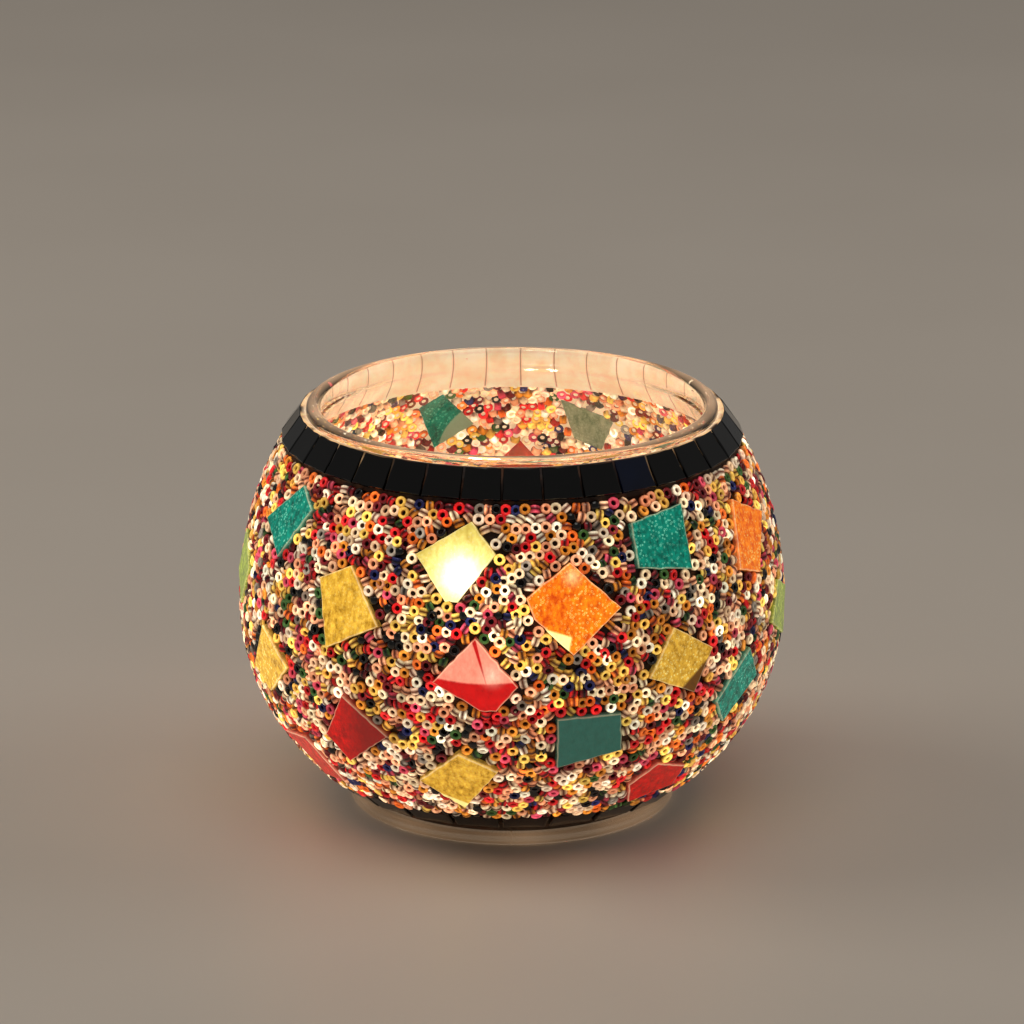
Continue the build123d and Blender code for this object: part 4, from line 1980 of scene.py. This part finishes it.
    def _by_tiles(
        self, where: np.ndarray
    ) -> Iterator[tuple[np.ndarray, np.ndarray, np.ndarray]]:
        """For each coloured tile, the spots near it, their gaps to it and the ways out of it.

        Args:
            where: Places of the spots in the frame.

        Yields:
            Numbers of the spots, the gaps and the directions.
        """
        for tile in CUT_TILES:
            seat = self.tiles.seat(tile)
            off = where - seat.middle
            near = np.flatnonzero(np.linalg.norm(off, axis=1) < self.tile_reach)
            flat = np.column_stack([off[near] @ seat.across, off[near] @ seat.up])
            yield near, *self._outline_gap(flat, np.array(tile.outline, float))

    @staticmethod
    def _outline_gap(flat: np.ndarray, corners: np.ndarray) -> tuple[np.ndarray, np.ndarray]:
        """Distance of flat points outside an outline, and the direction away from it.

        Args:
            flat: Rows of across and up.
            corners: The outline's corners.

        Returns:
            The distances, and the directions.
        """
        runs = np.roll(corners, -1, axis=0) - corners
        normals = np.column_stack([-runs[:, 1], runs[:, 0]])
        normals /= np.linalg.norm(normals, axis=1)[:, None]
        gaps = np.einsum("nec,ec->ne", flat[:, None, :] - corners[None], normals)
        best = gaps.argmax(axis=1)
        return gaps[np.arange(len(flat)), best], normals[best]


@dataclass
class Tealight:
    """The loose tealight: ribbed aluminium cup, wax, sustainer, wick and flame."""

    x: float = -8.5
    y: float = 3.0
    floor: float = 5.0
    cup_radius: float = 18.6
    cup_wall: float = 0.3
    cup_height: float = 24.0
    rim_radius: float = 0.45
    rib_count: int = 48
    rib_depth: float = 0.16
    wax_depth: float = 20.0
    wax_dish: float = 0.8
    wick_radius: float = 0.8
    wick_above_wax: float = 6.0
    sustainer_radius: float = 6.5
    sustainer_plate: float = 0.3
    neck_radius: float = 1.5
    neck_height: float = 3.0
    flame_height: float = 23.0
    flame_radius: float = 4.3
    flame_lean: float = 0.9
    flame_shape: tuple[tuple[float, float], ...] = (
        (0.0, 0.0), (0.05, 0.42), (0.12, 0.72), (0.22, 0.95), (0.32, 1.0), (0.45, 0.9),
        (0.6, 0.66), (0.75, 0.4), (0.88, 0.19), (0.96, 0.07), (1.0, 0.0),
    )

    @property
    def wax_top(self) -> float:
        """Height of the wax at its rim above the cup's underside."""
        return self.cup_wall + self.wax_depth

    @property
    def wick_top(self) -> float:
        """Height of the wick's tip above the cup's underside."""
        return self.wax_top - self.wax_dish + self.wick_above_wax

    def build(self) -> list[bpy.types.Object]:
        """Builds every piece of the tealight."""
        return [self._cup(), self._wax(), self._sustainer(), self._wick(), self._flame()]

    def _stand(self, points: np.ndarray) -> np.ndarray:
        """Moves points from the cup's own axis to its place on the bowl's floor."""
        return points + np.array([self.x, self.y, self.floor])

    def _cup(self) -> bpy.types.Object:
        """The pressed cup with its ribs and rolled rim.

        Returns:
            The piece.
        """
        outer, inner = self.cup_radius, self.cup_radius - self.cup_wall
        roll = (outer + self.rim_radius - self.cup_wall, self.cup_height)
        outline: Outline = [(0, 0), (6, 0), (12, 0)]
        outline += arc((outer - 0.8, 0.8), 0.8, -90, 0, 4)
        outline += [(outer, self.cup_height * share) for share in (0.1, 0.25, 0.5, 0.75, 0.9)]
        outline += arc(roll, self.rim_radius, -120, 160, 9)
        outline += [(inner, self.cup_height * share) for share in (0.95, 0.75, 0.5, 0.25)]
        outline += arc((inner - 0.6, 0.9), 0.6, 0, -90, 3)
        outline += [(12, self.cup_wall), (6, self.cup_wall), (0, self.cup_wall)]

        def ribs(angle: float, radius: float, height: float) -> float:
            """Radius of the ribbed side."""
            if radius < inner - 0.3 or not 2.0 < height < self.cup_height - 1.8:
                return radius
            return radius - self.rib_depth * (0.5 + 0.5 * math.cos(self.rib_count * angle))

        points, faces = lathe(outline, self.rib_count * 6, ribs)
        finish = PressedAluminium().make()
        cup = mesh_object("tealight_cup_pressed", self._stand(points), faces, finish)
        return self._own(cup, "tealight_cup", "thin_aluminium")

    def _wax(self) -> bpy.types.Object:
        """The wax, dished round the wick, with its molten pool.

        Returns:
            The piece.
        """
        rim = self.cup_radius - self.cup_wall - 0.2
        dished = self.wax_top - self.wax_dish
        outline: Outline = [(0, 0.65), (6.6, 0.65), (rim - 1, 0.4), (rim, 1.4), (rim, 9)]
        outline += [(rim, self.wax_top), (rim - 0.5, self.wax_top - 0.1)]
        outline += [(rim - 1.0, self.wax_top - 0.5)]
        outline += [(rim - 1.8, dished), (rim - 4, dished), (10, dished), (6, dished), (3, dished)]
        outline += [(1.6, dished + 0.05), (0.9, dished + 0.3), (0, dished + 0.3)]
        points, faces = lathe(outline, 96)
        wax = mesh_object("tealight_wax_poured", self._stand(points), faces, CandleWax().make())
        away = np.hypot(points[:, 0], points[:, 1])
        molten = np.clip((rim - 2.2 - away) / 3.0, 0, 1) * (points[:, 2] > dished - 0.4)
        add_attribute(wax, "pool", molten)
        return self._own(wax, "tealight_wax", "candle_wax")

    def _sustainer(self) -> bpy.types.Object:
        """The disc and crimped neck that hold the wick up.

        Returns:
            The piece.
        """
        low, plate = self.cup_wall + 0.02, self.cup_wall + self.sustainer_plate
        top = plate + self.neck_height
        bore, edge, neck = self.wick_radius, self.sustainer_radius, self.neck_radius
        outline: Outline = [(bore, low), (edge, low), (edge, plate), (neck + 0.6, plate)]
        outline += [(neck, plate + 0.5), (neck, top - 1.2), (neck - 0.25, top - 0.6)]
        outline += [(neck - 0.1, top), (bore, top)]
        points, faces = lathe(outline, 48)
        piece = mesh_object("wick_sustainer_disc", self._stand(points), faces, TinnedSteel().make())
        return self._own(piece, "wick_sustainer", "tinned_steel")

    def _wick(self) -> bpy.types.Object:
        """The braided wick, three strands twisted, curled over a little at its burnt tip.

        Returns:
            The piece.
        """
        low = self.cup_wall + self.sustainer_plate + 0.02
        rows, around, strands = 60, 18, 3
        points, heights = [], []
        for row in range(rows + 1):
            share = row / rows
            height = low + (self.wick_top - low) * share
            curl = 1.1 * max(0.0, share - 0.8) ** 2 / 0.04
            taper = 1.0 if row < rows - 1 else 0.55
            for step in range(around):
                angle = 2 * math.pi * step / around
                lobe = 1.0 - 0.2 * (0.5 + 0.5 * math.cos(strands * angle + share * 40.0))
                reach = self.wick_radius * lobe * taper
                x, y = reach * math.cos(angle) + curl * 0.4, reach * math.sin(angle)
                points.append((x, y, height))
                heights.append(share)
        faces: list[tuple[int, ...]] = []
        for row in range(rows):
            for step in range(around):
                after = (step + 1) % around
                start, end = row * around, (row + 1) * around
                faces.append((start + step, start + after, end + after, end + step))
        faces.append(tuple(range(around - 1, -1, -1)))
        faces.append(tuple(range(rows * around, rows * around + around)))
        wick = mesh_object("wick_braided", self._stand(np.array(points)), faces, WickCord().make())
        add_attribute(wick, "up", np.array(heights))
        return self._own(wick, "wick", "wick_cord")

    def _flame(self) -> bpy.types.Object:
        """The flame, a slim drop that leans a little.

        Returns:
            The piece.
        """
        low = self.wick_top - 2.5
        outline = [
            (self.flame_radius * wide, low + self.flame_height * up)
            for up, wide in self.flame_shape
        ]
        points, faces = lathe(outline, 32)
        share = (points[:, 2] - low) / self.flame_height
        points[:, 0] += self.flame_lean * share**2
        flame = mesh_object("candle_flame", self._stand(points), faces, FlameLight().make())
        add_attribute(flame, "up", share)
        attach(flame, TEALIGHT)
        return flame

    @staticmethod
    def _own(piece: bpy.types.Object, node: str, slot: str) -> bpy.types.Object:
        """Puts a piece of the tealight on the tealight's body and hides its CAD node.

        Args:
            piece: The piece.
            node: The CAD node it replaces.
            slot: Its material slot; not used.

        Returns:
            The piece.
        """
        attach(piece, TEALIGHT)
        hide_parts(node)
        return piece


# ---------------------------------------------------------------- stage


@dataclass
class Studio:
    """Camera, plain pale floor, soft studio lamps and the candle's own light."""

    camera_distance: float = 1.1
    camera_height: float = 0.4037
    camera_drop: float = 17.14
    lens: float = 185.06
    aim_height: float = 0.045
    floor_size: float = 6.0
    room: float = 0.13
    candle_power: float = 0.07

    def build(self) -> None:
        """Builds the stage."""
        self._camera()
        self._floor()
        self._room()
        self._lamp("key_lamp", (-1.15, 0.2, 0.9), 0.8, 5.0, (1.0, 0.93, 0.84), mirrored=False)
        self._lamp("fill_lamp", (1.2, 0.2, 0.75), 0.8, 3.0, (1.0, 0.95, 0.9), mirrored=False)
        self._lamp("top_lamp", (0.0, -0.2, 1.5), 1.0, 4.0, (1.0, 0.95, 0.88))
        self._candle_lamp()

    def _camera(self) -> None:
        """The camera, in front and a little above."""
        data = bpy.data.cameras.new("camera")
        data.lens = self.lens
        data.clip_start, data.clip_end = 0.01, 50.0
        camera = linked("camera", data)
        camera.location = (0.0, -self.camera_distance, self.camera_height)
        camera.rotation_euler = (math.radians(90.0 - self.camera_drop), 0.0, 0.0)
        bpy.context.scene.camera = camera

    def _floor(self) -> None:
        """A plain pale floor with a faint satin."""
        recipe = Recipe("pale_floor")
        soft = recipe.noise(recipe.place(), 6.0, 3.0)
        recipe.set(
            Base_Color=recipe.mix(soft, linear(206, 196, 184), linear(214, 205, 194)),
            Roughness=recipe.span(soft, 0.3, 0.7, 0.42, 0.5),
        )
        half = self.floor_size * 500.0
        points = np.array([(-half, -half, 0), (half, -half, 0), (half, half, 0), (-half, half, 0)])
        floor = mesh_object("pale_floor", points, [(0, 1, 2, 3)], recipe.material)

    def _room(self) -> None:
        """Even soft light from all round."""
        world = bpy.data.worlds.new("room")
        world.use_nodes = True
        background = world.node_tree.nodes["Background"]
        background.inputs[0].default_value = (1.0, 0.97, 0.93, 1.0)
        background.inputs[1].default_value = self.room
        bpy.context.scene.world = world
        bpy.context.scene.view_settings.view_transform = "Standard"

    def _lamp(
        self,
        name: str,
        place: Sequence[float],
        size: float,
        power: float,
        colour: Colour,
        mirrored: bool = True,
    ) -> None:
        """Adds a soft square lamp that faces the bowl.

        Args:
            name: The lamp's name.
            place: Where it hangs, in metres.
            size: Its side, in metres.
            power: Its power, in watts.
            colour: Its colour.
            mirrored: Whether glossy surfaces mirror it.
        """
        data = bpy.data.lights.new(name, "AREA")
        data.size = size
        data.energy = power
        data.color = colour
        lamp = linked(name, data)
        lamp.location = place
        aim = Vector((0.0, 0.0, self.aim_height)) - lamp.location
        lamp.rotation_euler = aim.to_track_quat("-Z", "Y").to_euler()
        lamp.visible_glossy = mirrored

    def _candle_lamp(self) -> None:
        """The light that the flame gives."""
        data = bpy.data.lights.new("candle_lamp", "POINT")
        data.energy = self.candle_power
        data.color = (1.0, 0.8, 0.56)
        data.shadow_soft_size = 0.005
        lamp = linked("candle_lamp", data)
        lamp.location = tuple(part * MM for part in LIGHT.flame)
        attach(lamp, TEALIGHT)


def report(pieces: Iterable[bpy.types.Object]) -> None:
    """Logs each piece with its faces and its body."""
    for piece in pieces:
        LOG.info("%s: %d faces on %s", piece.name, len(piece.data.polygons), body_of(piece))


def main() -> None:
    """Builds the stage and every sub-assembly."""
    logging.basicConfig(level=logging.INFO, format="%(message)s")
    Studio().build()
    bowl, border, base, tiles = GlassBowl(), BorderCourse(), BaseCourse(), MosaicTiles()
    bed = AdhesiveBed(bowl, border, base)
    for part in (bowl, bed, border, base, tiles, BeadJacket(bed, tiles), Tealight()):
        report(part.build())


if __name__ == "__main__":
    main()
